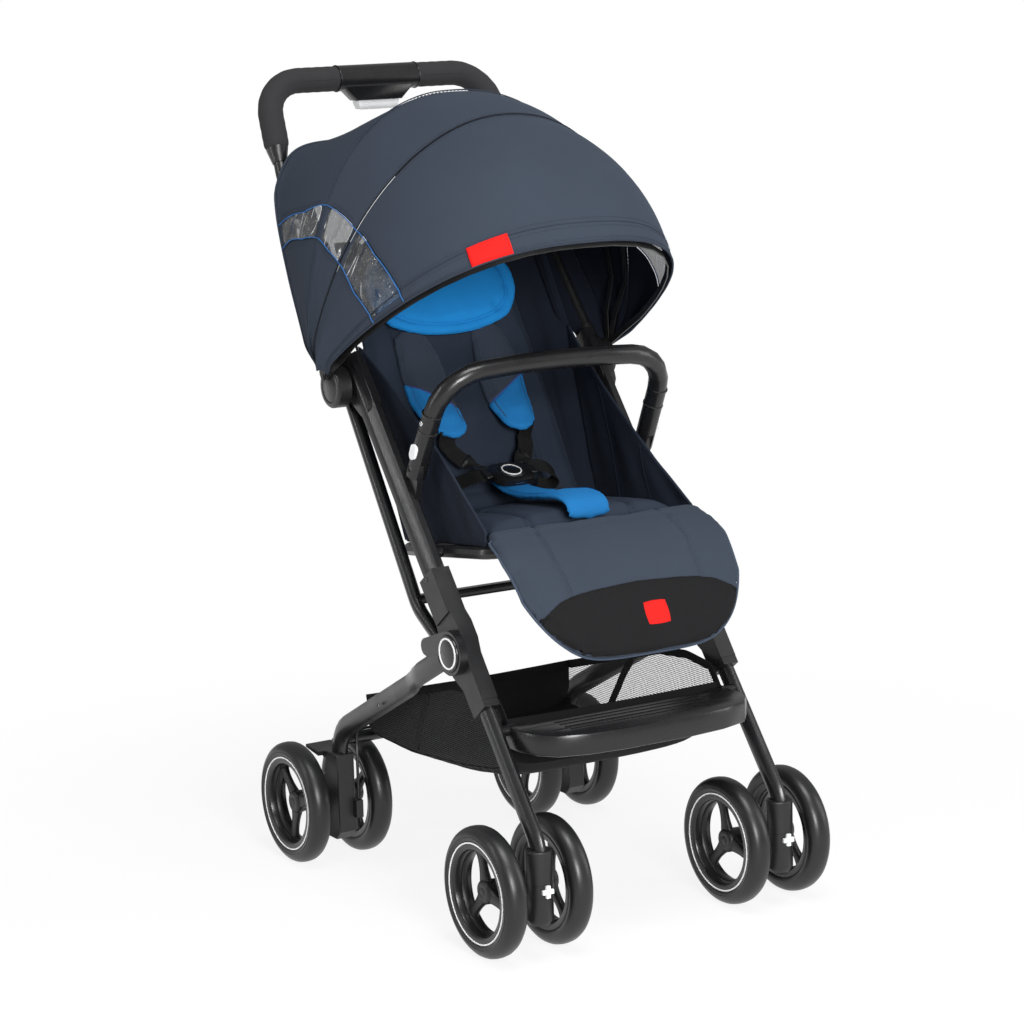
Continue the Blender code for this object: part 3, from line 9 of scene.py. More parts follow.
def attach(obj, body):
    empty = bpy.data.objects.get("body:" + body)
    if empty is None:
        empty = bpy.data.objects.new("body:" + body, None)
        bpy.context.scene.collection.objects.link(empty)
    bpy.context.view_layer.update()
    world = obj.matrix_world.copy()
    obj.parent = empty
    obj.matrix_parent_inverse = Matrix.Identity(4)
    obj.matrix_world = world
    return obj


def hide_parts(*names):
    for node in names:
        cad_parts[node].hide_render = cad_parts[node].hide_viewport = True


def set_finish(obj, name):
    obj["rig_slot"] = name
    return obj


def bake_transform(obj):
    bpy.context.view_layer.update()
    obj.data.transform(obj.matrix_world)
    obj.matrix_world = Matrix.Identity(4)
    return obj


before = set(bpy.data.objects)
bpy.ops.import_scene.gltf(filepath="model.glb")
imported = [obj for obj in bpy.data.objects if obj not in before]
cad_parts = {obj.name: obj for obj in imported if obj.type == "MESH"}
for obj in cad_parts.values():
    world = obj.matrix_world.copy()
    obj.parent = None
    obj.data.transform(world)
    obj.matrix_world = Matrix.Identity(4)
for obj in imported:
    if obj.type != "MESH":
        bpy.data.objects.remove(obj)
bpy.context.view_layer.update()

SCENE = bpy.context.scene

# Sizes are in metres. Shapes are drawn with y 0 at the front axle; at() puts them in the shared frame.

FRONT_AXLE_Y = -0.26855
SIDES = (("left", 1), ("right", -1))


def at(x, y, z):
    return Vector((x, y + FRONT_AXLE_Y, z))


def mix(first, second, share):
    return first + (second - first) * share


def clamp(value, low=0.0, high=1.0):
    return min(max(value, low), high)


def smooth(value):
    value = clamp(value)
    return value * value * (3 - 2 * value)


def stepped(pairs, place):
    """The value at a place on a polyline of (place, value) pairs."""
    for (a, low), (b, high) in zip(pairs, pairs[1:]):
        if place <= b:
            return mix(low, high, clamp((place - a) / (b - a)))
    return pairs[-1][1]


# Camera, at the photograph's angle

CAMERA_PLACE = Vector((-1.965, -3.21155, 1.181))
CAMERA_AZIMUTH = radians(-31.375)
CAMERA_ELEVATION = radians(10.664)
CAMERA_ROLL = radians(-1.516)
CAMERA_LENS = 105.82


def make_camera():
    right = Vector((cos(CAMERA_AZIMUTH), sin(CAMERA_AZIMUTH), 0))
    ahead = Vector((
        -sin(CAMERA_AZIMUTH) * cos(CAMERA_ELEVATION),
        cos(CAMERA_AZIMUTH) * cos(CAMERA_ELEVATION),
        -sin(CAMERA_ELEVATION),
    ))
    up = right.cross(ahead)
    turned_right = cos(CAMERA_ROLL) * right + sin(CAMERA_ROLL) * up
    turned_up = cos(CAMERA_ROLL) * up - sin(CAMERA_ROLL) * right
    data = bpy.data.cameras.new("camera")
    data.lens = CAMERA_LENS
    data.sensor_width = 36
    camera = bpy.data.objects.new("camera", data)
    axes = Matrix((turned_right, turned_up, -ahead)).transposed().to_4x4()
    camera.matrix_world = Matrix.Translation(CAMERA_PLACE) @ axes
    SCENE.collection.objects.link(camera)
    SCENE.camera = camera


# Surface effects, each a node group that several finishes share


def effect(name, inputs, outputs):
    """An empty node group with float inputs (name, value) and float outputs."""
    tree = bpy.data.node_groups.new(name, "ShaderNodeTree")
    for label, value in inputs:
        socket = tree.interface.new_socket(name=label, in_out="INPUT", socket_type="NodeSocketFloat")
        socket.default_value = value
    for label in outputs:
        tree.interface.new_socket(name=label, in_out="OUTPUT", socket_type="NodeSocketFloat")
    return tree, tree.nodes.new("NodeGroupInput").outputs, tree.nodes.new("NodeGroupOutput").inputs


def maths(tree, operation, *values):
    node = tree.nodes.new("ShaderNodeMath")
    node.operation = operation
    for socket, value in zip(node.inputs, values):
        if isinstance(value, (int, float)):
            socket.default_value = value
        else:
            tree.links.new(value, socket)
    return node.outputs[0]


def place_on_object(tree):
    """The x, y and z of a point on the piece, in metres."""
    coordinates = tree.nodes.new("ShaderNodeTexCoord").outputs["Object"]
    parts = tree.nodes.new("ShaderNodeSeparateXYZ")
    tree.links.new(coordinates, parts.inputs[0])
    return coordinates, parts.outputs


def noise_at(tree, coordinates, scale, detail=2.0, rough=0.5):
    texture = tree.nodes.new("ShaderNodeTexNoise")
    tree.links.new(coordinates, texture.inputs["Vector"])
    texture.inputs["Detail"].default_value = detail
    texture.inputs["Roughness"].default_value = rough
    if isinstance(scale, (int, float)):
        texture.inputs["Scale"].default_value = scale
    else:
        tree.links.new(scale, texture.inputs["Scale"])
    return texture.outputs["Fac"]


def make_woven_threads():
    """Crossing threads: two slanting sets of fine waves, whose pitch is in metres."""
    tree, given, result = effect("woven_threads", [("Pitch", 0.0008), ("Irregular", 0.4)], ["Height", "Tone"])
    coordinates, (x, y, z) = place_on_object(tree)
    turn = maths(tree, "DIVIDE", 2 * pi, given["Pitch"])
    wander = maths(tree, "MULTIPLY", noise_at(tree, coordinates, 160.0), given["Irregular"])
    first = maths(tree, "ADD", maths(tree, "MULTIPLY",
                                     maths(tree, "ADD", x, maths(tree, "MULTIPLY", y, 0.6)), turn), wander)
    second = maths(tree, "ADD", maths(tree, "MULTIPLY",
                                      maths(tree, "ADD", z, maths(tree, "MULTIPLY", y, -0.6)), turn), wander)
    crossing = maths(tree, "MULTIPLY", maths(tree, "SINE", first), maths(tree, "SINE", second))
    tree.links.new(maths(tree, "MULTIPLY_ADD", crossing, 0.5, 0.5), result["Height"])
    tree.links.new(noise_at(tree, coordinates, 420.0, 3.0, 0.7), result["Tone"])
    return tree


def make_soft_creases():
    """Broad and narrow creases of cloth that has been folded and sat on."""
    tree, given, result = effect("soft_creases", [("Size", 14.0)], ["Height", "Tone"])
    coordinates, _ = place_on_object(tree)
    broad = noise_at(tree, coordinates, given["Size"], 3.0, 0.55)
    ridged = maths(tree, "ABSOLUTE", maths(tree, "SUBTRACT",
                                           noise_at(tree, coordinates, given["Size"], 1.0), 0.5))
    tree.links.new(maths(tree, "SUBTRACT", broad, maths(tree, "MULTIPLY", ridged, 0.8)), result["Height"])
    tree.links.new(broad, result["Tone"])
    return tree


def make_painted_film_glints():
    """Painted highlights: short bright glints painted white along the folds of a clear film."""
    tree, given, result = effect("painted_film_glints", [("Size", 1.0)], ["Mask"])
    coordinates, _ = place_on_object(tree)
    stretch = tree.nodes.new("ShaderNodeMapping")
    stretch.inputs["Scale"].default_value = (1.0, 2.6, 0.8)
    stretch.inputs["Rotation"].default_value = (0.6, 0.3, 0.2)
    tree.links.new(coordinates, stretch.inputs["Vector"])
    folds = noise_at(tree, stretch.outputs["Vector"], maths(tree, "MULTIPLY", given["Size"], 24.0), 1.0)
    near = maths(tree, "ABSOLUTE", maths(tree, "SUBTRACT", folds, 0.5))
    line = maths(tree, "SUBTRACT", 1.0, maths(tree, "MULTIPLY", near, 36.0))
    broken = noise_at(tree, coordinates, 46.0, 1.0)
    keep = maths(tree, "MULTIPLY", maths(tree, "SUBTRACT", broken, 0.50), 9.0)
    keep.node.use_clamp = True
    line.node.use_clamp = True
    tree.links.new(maths(tree, "MULTIPLY", line, keep), result["Mask"])
    return tree


def make_moulded_grain():
    """The fine even grain of a moulded or powder-coated surface."""
    tree, given, result = effect("moulded_grain", [("Grains", 1400.0)], ["Height", "Tone"])
    coordinates, _ = place_on_object(tree)
    cells = tree.nodes.new("ShaderNodeTexVoronoi")
    tree.links.new(coordinates, cells.inputs["Vector"])
    tree.links.new(given["Grains"], cells.inputs["Scale"])
    tree.links.new(cells.outputs["Distance"], result["Height"])
    tree.links.new(noise_at(tree, coordinates, 38.0, 4.0, 0.6), result["Tone"])
    return tree


def make_rubbed_patches():
    """Where hands and shoes have polished or scratched a surface: long thin streaks in patches."""
    tree, given, result = effect("rubbed_patches", [("Amount", 0.5)], ["Mask"])
    coordinates, _ = place_on_object(tree)
    stretch = tree.nodes.new("ShaderNodeMapping")
    tree.links.new(coordinates, stretch.inputs["Vector"])
    stretch.inputs["Rotation"].default_value = (0.5, 0.3, 0.9)
    stretch.inputs["Scale"].default_value = (1.0, 9.0, 1.0)
    streaks = noise_at(tree, stretch.outputs[0], 130.0, 3.0, 0.7)
    patches = noise_at(tree, coordinates, 9.0, 2.0)
    both = maths(tree, "MULTIPLY", streaks, patches)
    mask = maths(tree, "MULTIPLY", maths(tree, "SUBTRACT", both, 0.24), 6.0)
    clamped = maths(tree, "MINIMUM", maths(tree, "MAXIMUM", mask, 0.0), 1.0)
    tree.links.new(maths(tree, "MULTIPLY", clamped, given["Amount"]), result["Mask"])
    return tree


def make_settled_dust():
    """A thin veil of dust on what faces up."""
    tree, given, result = effect("settled_dust", [("Amount", 0.3)], ["Mask"])
    coordinates, _ = place_on_object(tree)
    facing = tree.nodes.new("ShaderNodeNewGeometry").outputs["Normal"]
    parts = tree.nodes.new("ShaderNodeSeparateXYZ")
    tree.links.new(facing, parts.inputs[0])
    upward = maths(tree, "MAXIMUM", parts.outputs[2], 0.0)
    speckle = noise_at(tree, coordinates, 60.0, 5.0, 0.75)
    veil = maths(tree, "MULTIPLY", maths(tree, "MULTIPLY", upward, upward), speckle)
    tree.links.new(maths(tree, "MULTIPLY", veil, given["Amount"]), result["Mask"])
    return tree


def make_open_net():
    """A knitted net: round holes in staggered rows, as a mask of where there is thread."""
    tree, given, result = effect("open_net", [("Pitch", 0.0026), ("Openness", 0.5)], ["Thread", "Height"])
    _, (x, y, z) = place_on_object(tree)
    turn = maths(tree, "DIVIDE", 2 * pi, given["Pitch"])
    across = maths(tree, "MULTIPLY", maths(tree, "ADD", y, maths(tree, "MULTIPLY", x, 0.8)), turn)
    upward = maths(tree, "MULTIPLY", maths(tree, "ADD", z, maths(tree, "MULTIPLY", x, 0.6)), turn)
    crossing = maths(tree, "MULTIPLY", maths(tree, "SINE", across), maths(tree, "SINE", upward))
    holes = maths(tree, "ABSOLUTE", crossing)
    edge = maths(tree, "SUBTRACT", 1.0, given["Openness"])
    tree.links.new(maths(tree, "LESS_THAN", holes, edge), result["Thread"])
    tree.links.new(maths(tree, "SUBTRACT", 1.0, holes), result["Height"])
    return tree


def make_ribs():
    """Fine ribs across webbing or along a moulded tread."""
    tree, given, result = effect("ribs", [("Pitch", 0.0016)], ["Height"])
    _, (x, y, z) = place_on_object(tree)
    turn = maths(tree, "DIVIDE", 2 * pi, given["Pitch"])
    slant = maths(tree, "ADD", z, maths(tree, "MULTIPLY", maths(tree, "ADD", x, y), 0.5))
    tree.links.new(maths(tree, "SINE", maths(tree, "MULTIPLY", slant, turn)), result["Height"])
    return tree


WOVEN_THREADS = make_woven_threads()
SOFT_CREASES = make_soft_creases()
MOULDED_GRAIN = make_moulded_grain()
RUBBED_PATCHES = make_rubbed_patches()
SETTLED_DUST = make_settled_dust()
OPEN_NET = make_open_net()
RIBS = make_ribs()
PAINTED_FILM_GLINTS = make_painted_film_glints()


# Finishes


class Finish:
    """A material whose colour, roughness and relief are built up step by step."""

    def __init__(self, name, colour, roughness, **plain):
        self.material = bpy.data.materials.new(name)
        self.material.use_nodes = True
        self.tree = self.material.node_tree
        self.shader = self.tree.nodes["Principled BSDF"]
        self.shader.inputs["Base Color"].default_value = (*colour, 1)
        self.shader.inputs["Roughness"].default_value = roughness
        for label, value in plain.items():
            self.shader.inputs[label.replace("_", " ")].default_value = value
        self.colour = tuple(colour)
        self.top_colour = None
        self.top_normal = None

    def use(self, group, **values):
        node = self.tree.nodes.new("ShaderNodeGroup")
        node.node_tree = group
        for label, value in values.items():
            node.inputs[label].default_value = value
        return node.outputs

    def tint(self, mask, other, low=0.0, high=1.0):
        """Mix the colour so far towards another, where the mask says."""
        share = self.spread(mask, 0.0, 1.0, low, high)
        node = self.tree.nodes.new("ShaderNodeMix")
        node.data_type = "RGBA"
        self.tree.links.new(share, node.inputs["Factor"])
        if self.top_colour is None:
            node.inputs["A"].default_value = (*self.colour, 1)
        else:
            self.tree.links.new(self.top_colour, node.inputs["A"])
        node.inputs["B"].default_value = (*other, 1)
        self.top_colour = node.outputs["Result"]
        self.tree.links.new(self.top_colour, self.shader.inputs["Base Color"])

    def spread(self, value, from_low, from_high, low, high):
        node = self.tree.nodes.new("ShaderNodeMapRange")
        for label, amount in (("From Min", from_low), ("From Max", from_high), ("To Min", low),
                              ("To Max", high)):
            node.inputs[label].default_value = amount
        self.tree.links.new(value, node.inputs["Value"])
        return node.outputs["Result"]

    def rough(self, mask, low, high):
        self.tree.links.new(self.spread(mask, 0.2, 0.8, low, high), self.shader.inputs["Roughness"])

    def relief(self, height, distance, strength=1.0):
        node = self.tree.nodes.new("ShaderNodeBump")
        node.inputs["Strength"].default_value = strength
        node.inputs["Distance"].default_value = distance
        self.tree.links.new(height, node.inputs["Height"])
        if self.top_normal is not None:
            self.tree.links.new(self.top_normal, node.inputs["Normal"])
        self.top_normal = node.outputs["Normal"]
        self.tree.links.new(self.top_normal, self.shader.inputs["Normal"])


def scaled(colour, amount):
    return tuple(part * amount for part in colour)


def cloth(name, colour, pitch=0.0009, crease=14.0, depth=0.0022, sheen=0.10):
    finish = Finish(name, colour, 0.86, Sheen_Weight=sheen, Sheen_Roughness=0.5,
                    Sheen_Tint=(*scaled(colour, 6), 1),
                    Specular_IOR_Level=0.16)
    threads = finish.use(WOVEN_THREADS, Pitch=pitch)
    creases = finish.use(SOFT_CREASES, Size=crease)
    finish.tint(threads["Tone"], scaled(colour, 1.30), -0.2, 1.0)
    # The weave's low points are painted darker: painted shade between the threads.
    finish.tint(threads["Height"], scaled(colour, 0.80), 0.20, 0.0)
    finish.tint(creases["Tone"], scaled(colour, 0.86), -0.1, 0.7)
    finish.rough(threads["Tone"], 0.78, 0.94)
    finish.relief(creases["Height"], depth, 0.5)
    finish.relief(threads["Height"], 0.00010, 0.4)
    return finish.material


def moulding(name, colour, roughness, grains=1400.0, relief=0.00006, worn=0.35, dust=0.10, **plain):
    finish = Finish(name, colour, roughness, **plain)
    grain = finish.use(MOULDED_GRAIN, Grains=grains)
    rubbed = finish.use(RUBBED_PATCHES, Amount=worn)
    dusty = finish.use(SETTLED_DUST, Amount=dust)
    finish.tint(grain["Tone"], scaled(colour, 1.25), -0.2, 1.0)
    finish.tint(rubbed["Mask"], scaled(colour, 1.7), 0.0, 0.6)
    finish.tint(dusty["Mask"], tuple(mix(part, 0.45, 0.35) for part in colour), 0.0, 0.5)
    finish.rough(grain["Tone"], roughness - 0.06, roughness + 0.07)
    finish.relief(grain["Height"], relief, 0.6)
    return finish.material


SLATE = (0.0300, 0.0385, 0.0550)
# DARK_SLATE darkens the slate for the canopy's rear panel and seams: partly the panel's own darker tone,
# partly painted shade.
DARK_SLATE = (0.0255, 0.0328, 0.0468)
NAVY = (0.0200, 0.0275, 0.0430)
BLUE = (0.011, 0.205, 0.540)
COAL = (0.0070, 0.0070, 0.0078)

SLATE_CLOTH = cloth("slate_cloth_woven", SLATE)
DARK_CLOTH = cloth("dark_slate_cloth_woven", (0.0340, 0.0440, 0.0630), crease=20.0)
# The wings' dark navy, darkened further: painted shade inside the canopy.
SHADED_WING_CLOTH = cloth("shaded_wing_cloth_woven", (0.0090, 0.0125, 0.0215), crease=18.0, depth=0.0030, sheen=0.03)
REAR_CLOTH = cloth("rear_slate_cloth_woven", DARK_SLATE)
NAVY_CLOTH = cloth("navy_cloth_woven", NAVY, crease=20.0, depth=0.0026, sheen=0.03)
LINING = cloth("canopy_lining", (0.0045, 0.0065, 0.0130), sheen=0.0)
# One blue cloth in three strengths, each set to the light its part gets: brightest on the headrest in the
# canopy's shade, darker on the shoulder pads, darkest on the crotch pad in full light; the differences are
# painted light and shade.
BLUE_CLOTH = cloth("blue_cloth_woven", BLUE, crease=26.0, depth=0.0014)
SHADED_BLUE_CLOTH = cloth("shaded_blue_cloth_woven", (0.014, 0.165, 0.430), crease=26.0, depth=0.0014)
CROTCH_BLUE_SHADED = cloth("crotch_blue_shaded_woven", (0.009, 0.118, 0.310), crease=26.0, depth=0.0014)
BLACK_CLOTH = cloth("black_cloth_woven", (0.0075, 0.0075, 0.0082), crease=22.0, sheen=0.1)
RED_LABEL = cloth("red_label_satin", (0.68, 0.012, 0.010), pitch=0.0006, depth=0.0006, sheen=0.1)
BLUE_PIPING = cloth("blue_piping_cord", (0.030, 0.110, 0.300), pitch=0.0006, depth=0.0004)
VIOLET_PIPING = cloth("violet_piping_cord", (0.060, 0.065, 0.230), pitch=0.0006, depth=0.0004)
SLATE_PIPING = cloth("slate_piping_cord", (0.045, 0.060, 0.088), pitch=0.0006, depth=0.0004)
NAVY_PIPING = cloth("navy_piping_cord", (0.014, 0.019, 0.031), pitch=0.0006, depth=0.0004)
# Navy thread darkened like the wing cloth: painted shade.
SHADED_WING_THREAD = cloth("shaded_wing_thread", (0.0065, 0.0090, 0.0155), pitch=0.0004, depth=0.0001)
SLATE_THREAD = cloth("slate_thread", (0.040, 0.050, 0.070), pitch=0.0004, depth=0.0001)
NAVY_THREAD = cloth("navy_thread", (0.020, 0.028, 0.046), pitch=0.0004, depth=0.0001)
BLUE_THREAD = cloth("blue_thread", (0.006, 0.120, 0.400), pitch=0.0004, depth=0.0001)
FRAME_COAT = moulding("frame_powder_coat", COAL, 0.30, 2600.0, 0.00003, 0.5, 0.04, Coat_Weight=0.15,
                      Coat_Roughness=0.2)
BLACK_MOULDING = moulding("black_moulding", (0.0075, 0.0075, 0.0082), 0.42, 1500.0, dust=0.04)
SATIN_MOULDING = moulding("satin_black_moulding", (0.0065, 0.0065, 0.0072), 0.28, 1800.0, 0.00003, dust=0.04)
RUBBER = moulding("soft_tyre", (0.0075, 0.0075, 0.0082), 0.36, 900.0, 0.00005, 0.25, 0.05)
FOAM = moulding("grip_foam", (0.014, 0.014, 0.0155), 0.88, 1700.0, 0.00045, 0.3, 0.03)
PALE_MOULDING = moulding("pale_moulding", (0.74, 0.75, 0.76), 0.38, 1200.0, 0.00002, 0.15)
WHITE_RING = moulding("white_ring_paint", (0.80, 0.80, 0.80), 0.45, 1600.0, 0.00002, 0.1)
SILVER = moulding("silver_ring_metal", (0.62, 0.63, 0.64), 0.24, 2200.0, 0.00002, 0.5, 0.0, Metallic=1.0)
DARK_STEEL = moulding("dark_screw_steel", (0.10, 0.10, 0.105), 0.36, 2200.0, 0.00003, 0.6, 0.0, Metallic=1.0)


def make_webbing():
    finish = Finish("ribbed_webbing", (0.0045, 0.0045, 0.0050), 0.68, Specular_IOR_Level=0.3)
    ribs = finish.use(RIBS, Pitch=0.0021)
    threads = finish.use(WOVEN_THREADS, Pitch=0.0007)
    # Rib crests painted lighter: painted highlight along the ribs.
    finish.tint(ribs["Height"], (0.020, 0.020, 0.022), 0.0, 0.6)
    finish.rough(threads["Tone"], 0.6, 0.8)
    finish.relief(threads["Height"], 0.0001, 0.5)
    finish.relief(ribs["Height"], 0.0006, 1.0)
    return finish.material


def make_net():
    finish = Finish("basket_net", (0.014, 0.014, 0.015), 0.7)
    net = finish.use(OPEN_NET, Pitch=0.0052, Openness=0.62)
    threads = finish.use(WOVEN_THREADS, Pitch=0.0007)
    finish.tint(threads["Tone"], (0.024, 0.024, 0.026), 0.0, 0.8)
    finish.rough(threads["Tone"], 0.6, 0.85)
    finish.relief(net["Height"], 0.0003, 0.5)
    finish.tree.links.new(net["Thread"], finish.shader.inputs["Alpha"])
    return finish.material


def make_vinyl():
    """Clear film, dark and mostly opaque as painted shade of the inside, with white streaks as painted
    highlights.
    """
    finish = Finish("clear_window_film", (0.012, 0.013, 0.015), 0.06, Alpha=0.80, Coat_Weight=1.0,
                    Coat_Roughness=0.04)
    creases = finish.use(SOFT_CREASES, Size=34.0)
    streaks = finish.use(PAINTED_FILM_GLINTS)
    finish.tint(creases["Tone"], (0.10, 0.105, 0.11), 0.0, 0.8)
    # White streaks along the folds: painted highlights.
    finish.tint(streaks["Mask"], (0.85, 0.86, 0.88), 0.0, 1.0)
    finish.rough(creases["Tone"], 0.03, 0.10)
    finish.relief(creases["Height"], 0.030, 1.0)
    return finish.material


WEBBING = make_webbing()
NET = make_net()
WINDOW_FILM = make_vinyl()


# Making meshes


def new_piece(name, points, faces, finishes, slot, choose=None):
    """A mesh object. choose(centre) gives a face's place in the list of finishes."""
    mesh = bpy.data.meshes.new(name)
    mesh.from_pydata([tuple(p) for p in points], [], faces)
    mesh.validate()
    finishes = finishes if isinstance(finishes, list) else [finishes]
    for finish in finishes:
        mesh.materials.append(finish)
    if choose:
        for face in mesh.polygons:
            face.material_index = choose(face.center)
    mesh.shade_smooth()
    mesh.set_sharp_from_angle(angle=radians(42))
    piece = bpy.data.objects.new(name, mesh)
    SCENE.collection.objects.link(piece)
    if slot:
        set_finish(piece, slot)
    return piece


def outward(piece):
    work = bmesh.new()
    work.from_mesh(piece.data)
    bmesh.ops.remove_doubles(work, verts=work.verts, dist=1e-6)
    bmesh.ops.recalc_face_normals(work, faces=work.faces)
    work.to_mesh(piece.data)
    work.free()
    return piece


def applied(piece):
    """The piece with its modifiers made part of its mesh."""
    bpy.context.view_layer.update()
    graph = bpy.context.evaluated_depsgraph_get()
    mesh = bpy.data.meshes.new_from_object(piece.evaluated_get(graph))
    old = piece.data
    piece.modifiers.clear()
    piece.data = mesh
    bpy.data.meshes.remove(old)
    mesh.name = piece.name
    return piece


def thickened(piece, thickness):
    """Give a sheet its thickness, half to each side."""
    skin = piece.modifiers.new("Solidify", "SOLIDIFY")
    skin.thickness = thickness
    skin.offset = 0
    applied(piece)


def grid_faces(columns, rows):
    """Faces of a sheet whose points come row by row, one more of each than its faces."""
    corners = [j * (columns + 1) + i for j in range(rows) for i in range(columns)]
    return [(k, k + 1, k + columns + 2, k + columns + 1) for k in corners]


def tube_faces(runs, sides):
    """Faces between the rings of points of a tube, without its ends."""
    faces = []
    for i in range(runs):
        for k in range(sides):
            n = (k + 1) % sides
            faces.append((i * sides + k, i * sides + n, (i + 1) * sides + n, (i + 1) * sides + k))
    return faces


def subdivided(piece, levels=1):
    step = piece.modifiers.new("Subdivision", "SUBSURF")
    step.levels = levels
    step.render_levels = levels
    return applied(piece)


def join(pieces, name):
    """One object of several, with their finishes kept."""
    work = bmesh.new()
    finishes = []
    for piece in pieces:
        start = len(work.faces)
        work.from_mesh(piece.data)
        work.faces.ensure_lookup_table()
        for face in work.faces[start:]:
            finish = piece.data.materials[face.material_index]
            if finish not in finishes:
                finishes.append(finish)
            face.material_index = finishes.index(finish)
    mesh = bpy.data.meshes.new(name)
    work.to_mesh(mesh)
    work.free()
    for finish in finishes:
        mesh.materials.append(finish)
    slot = pieces[0].get("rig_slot")
    for piece in pieces:
        bpy.data.objects.remove(piece)
    joined = bpy.data.objects.new(name, mesh)
    SCENE.collection.objects.link(joined)
    if slot:
        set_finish(joined, slot)
    return joined


def frames_along(line, closed=False):
    """A pair of axes across each point of a line, turning as little as they can."""
    count = len(line)
    ahead = []
    for i in range(count):
        before = line[i - 1] if closed or i else line[i]
        after = line[(i + 1) % count] if closed or i < count - 1 else line[i]
        ahead.append((after - before).normalized())
    first = ahead[0].orthogonal().normalized()
    axes = []
    for direction in ahead:
        first = (first - direction * first.dot(direction)).normalized()
        axes.append((first, direction.cross(first)))
    return axes


def cord_mesh(line, radius, sides=8, closed=False):
    """A round cord along a line; radius may be a list."""
    axes = frames_along(line, closed)
    points, faces = [], []
    for i, (place, (a, b)) in enumerate(zip(line, axes)):
        r = radius[i] if isinstance(radius, list) else radius
        for k in range(sides):
            turn = 2 * pi * k / sides
            points.append(place + (a * cos(turn) + b * sin(turn)) * r)
    runs = len(line) if closed else len(line) - 1
    for i in range(runs):
        for k in range(sides):
            j = (i + 1) % len(line)
            faces.append((i * sides + k, i * sides + (k + 1) % sides, j * sides + (k + 1) % sides,
                          j * sides + k))
    if not closed:
        faces.append(tuple(range(sides))[::-1])
        last = (len(line) - 1) * sides
        faces.append(tuple(last + k for k in range(sides)))
    return points, faces


def cord(name, line, radius, finish, slot, sides=8, closed=False):
    return outward(new_piece(name, *cord_mesh(line, radius, sides, closed), finish, slot))


def turned(name, profile, centre, axis, finishes, slot, sides=48):
    """A profile of (radius, along) turned round an axis through a centre."""
    axis = Vector(axis).normalized()
    first = axis.orthogonal().normalized()
    second = axis.cross(first)
    points, faces = [], []
    for radius, along in profile:
        for k in range(sides):
            turn = 2 * pi * k / sides
            points.append(Vector(centre) + axis * along + (first * cos(turn) + second * sin(turn)) * radius)
    for i in range(len(profile) - 1):
        for k in range(sides):
            n = (k + 1) % sides
            faces.append((i * sides + k, i * sides + n, (i + 1) * sides + n, (i + 1) * sides + k))
    piece = new_piece(name, points, faces, finishes, slot)
    return outward(piece)


def stitched(name, line, finish, slot, length=0.0030, gap=0.0014, radius=0.00042):
    """A row of stitches: short rounded threads, end to end, along a line."""
    points, faces = [], []
    spent, run = 0.0, []
    dense = resampled(line, 0.0005)
    period = length + gap
    for a, b in zip(dense, dense[1:]):
        run.append(a)
        spent += (b - a).length
        if spent >= length and len(run) > 1:
            thread = [run[0], run[len(run) // 3], run[2 * len(run) // 3], run[-1]]
            if (thread[0] - thread[-1]).length > length * 0.5 and len({tuple(p) for p in thread}) == 4:
                widths = [radius * 0.45, radius, radius, radius * 0.45]
                more, sides = cord_mesh(thread, widths, 5)
                start = len(points)
                points += more
                faces += [tuple(i + start for i in face) for face in sides]
            run = []
            spent = -(period - length)
        if spent < 0:
            run = []
    return outward(new_piece(name, points, faces, finish, slot))


def resampled(line, step):
    """The same line with points an even step apart."""
    result = [line[0].copy()]
    left = step
    for a, b in zip(line, line[1:]):
        length = (b - a).length
        place = 0.0
        while length - place >= left > 0:
            place += left
            result.append(a.lerp(b, place / length))
            left = step
        left -= length - place
    if (result[-1] - line[-1]).length > step * 0.3:
        result.append(line[-1].copy())
    return result


def rounded(corners, bend, steps=8):
    """A line through corners, each rounded to a bend radius."""
    result = [corners[0]]
    for before, corner, after in zip(corners, corners[1:], corners[2:]):
        back, ahead = (before - corner).normalized(), (after - corner).normalized()
        half = back.angle(ahead) / 2
        reach = bend / tan(half)
        centre = corner + (back + ahead).normalized() * (bend / sin(half))
        start, end = corner + back * reach, corner + ahead * reach
        first, second = start - centre, end - centre
        whole = first.angle(second)
        for k in range(steps + 1):
            share = k / steps
            spoke = first * sin((1 - share) * whole) + second * sin(share * whole)
            result.append(centre + spoke / sin(whole))
    result.append(corners[-1])
    return result


def surface_tree(piece):
    work = bmesh.new()
    work.from_mesh(piece.data)
    tree = BVHTree.FromBMesh(work)
    work.free()
    return tree


def laid(points, tree, direction, lift=0.0003, reach=0.08):
    """Points dropped on a surface against a direction, and lifted off it by a little."""
    result = []
    direction = Vector(direction).normalized()
    for point in points:
        hit, normal, _, _ = tree.ray_cast(point + direction * reach, -direction, reach * 2)
        if hit is None:
            hit, normal, _, _ = tree.find_nearest(point)
        if normal.dot(direction) < 0:
            normal = -normal
        result.append(hit + normal * lift)
    return result


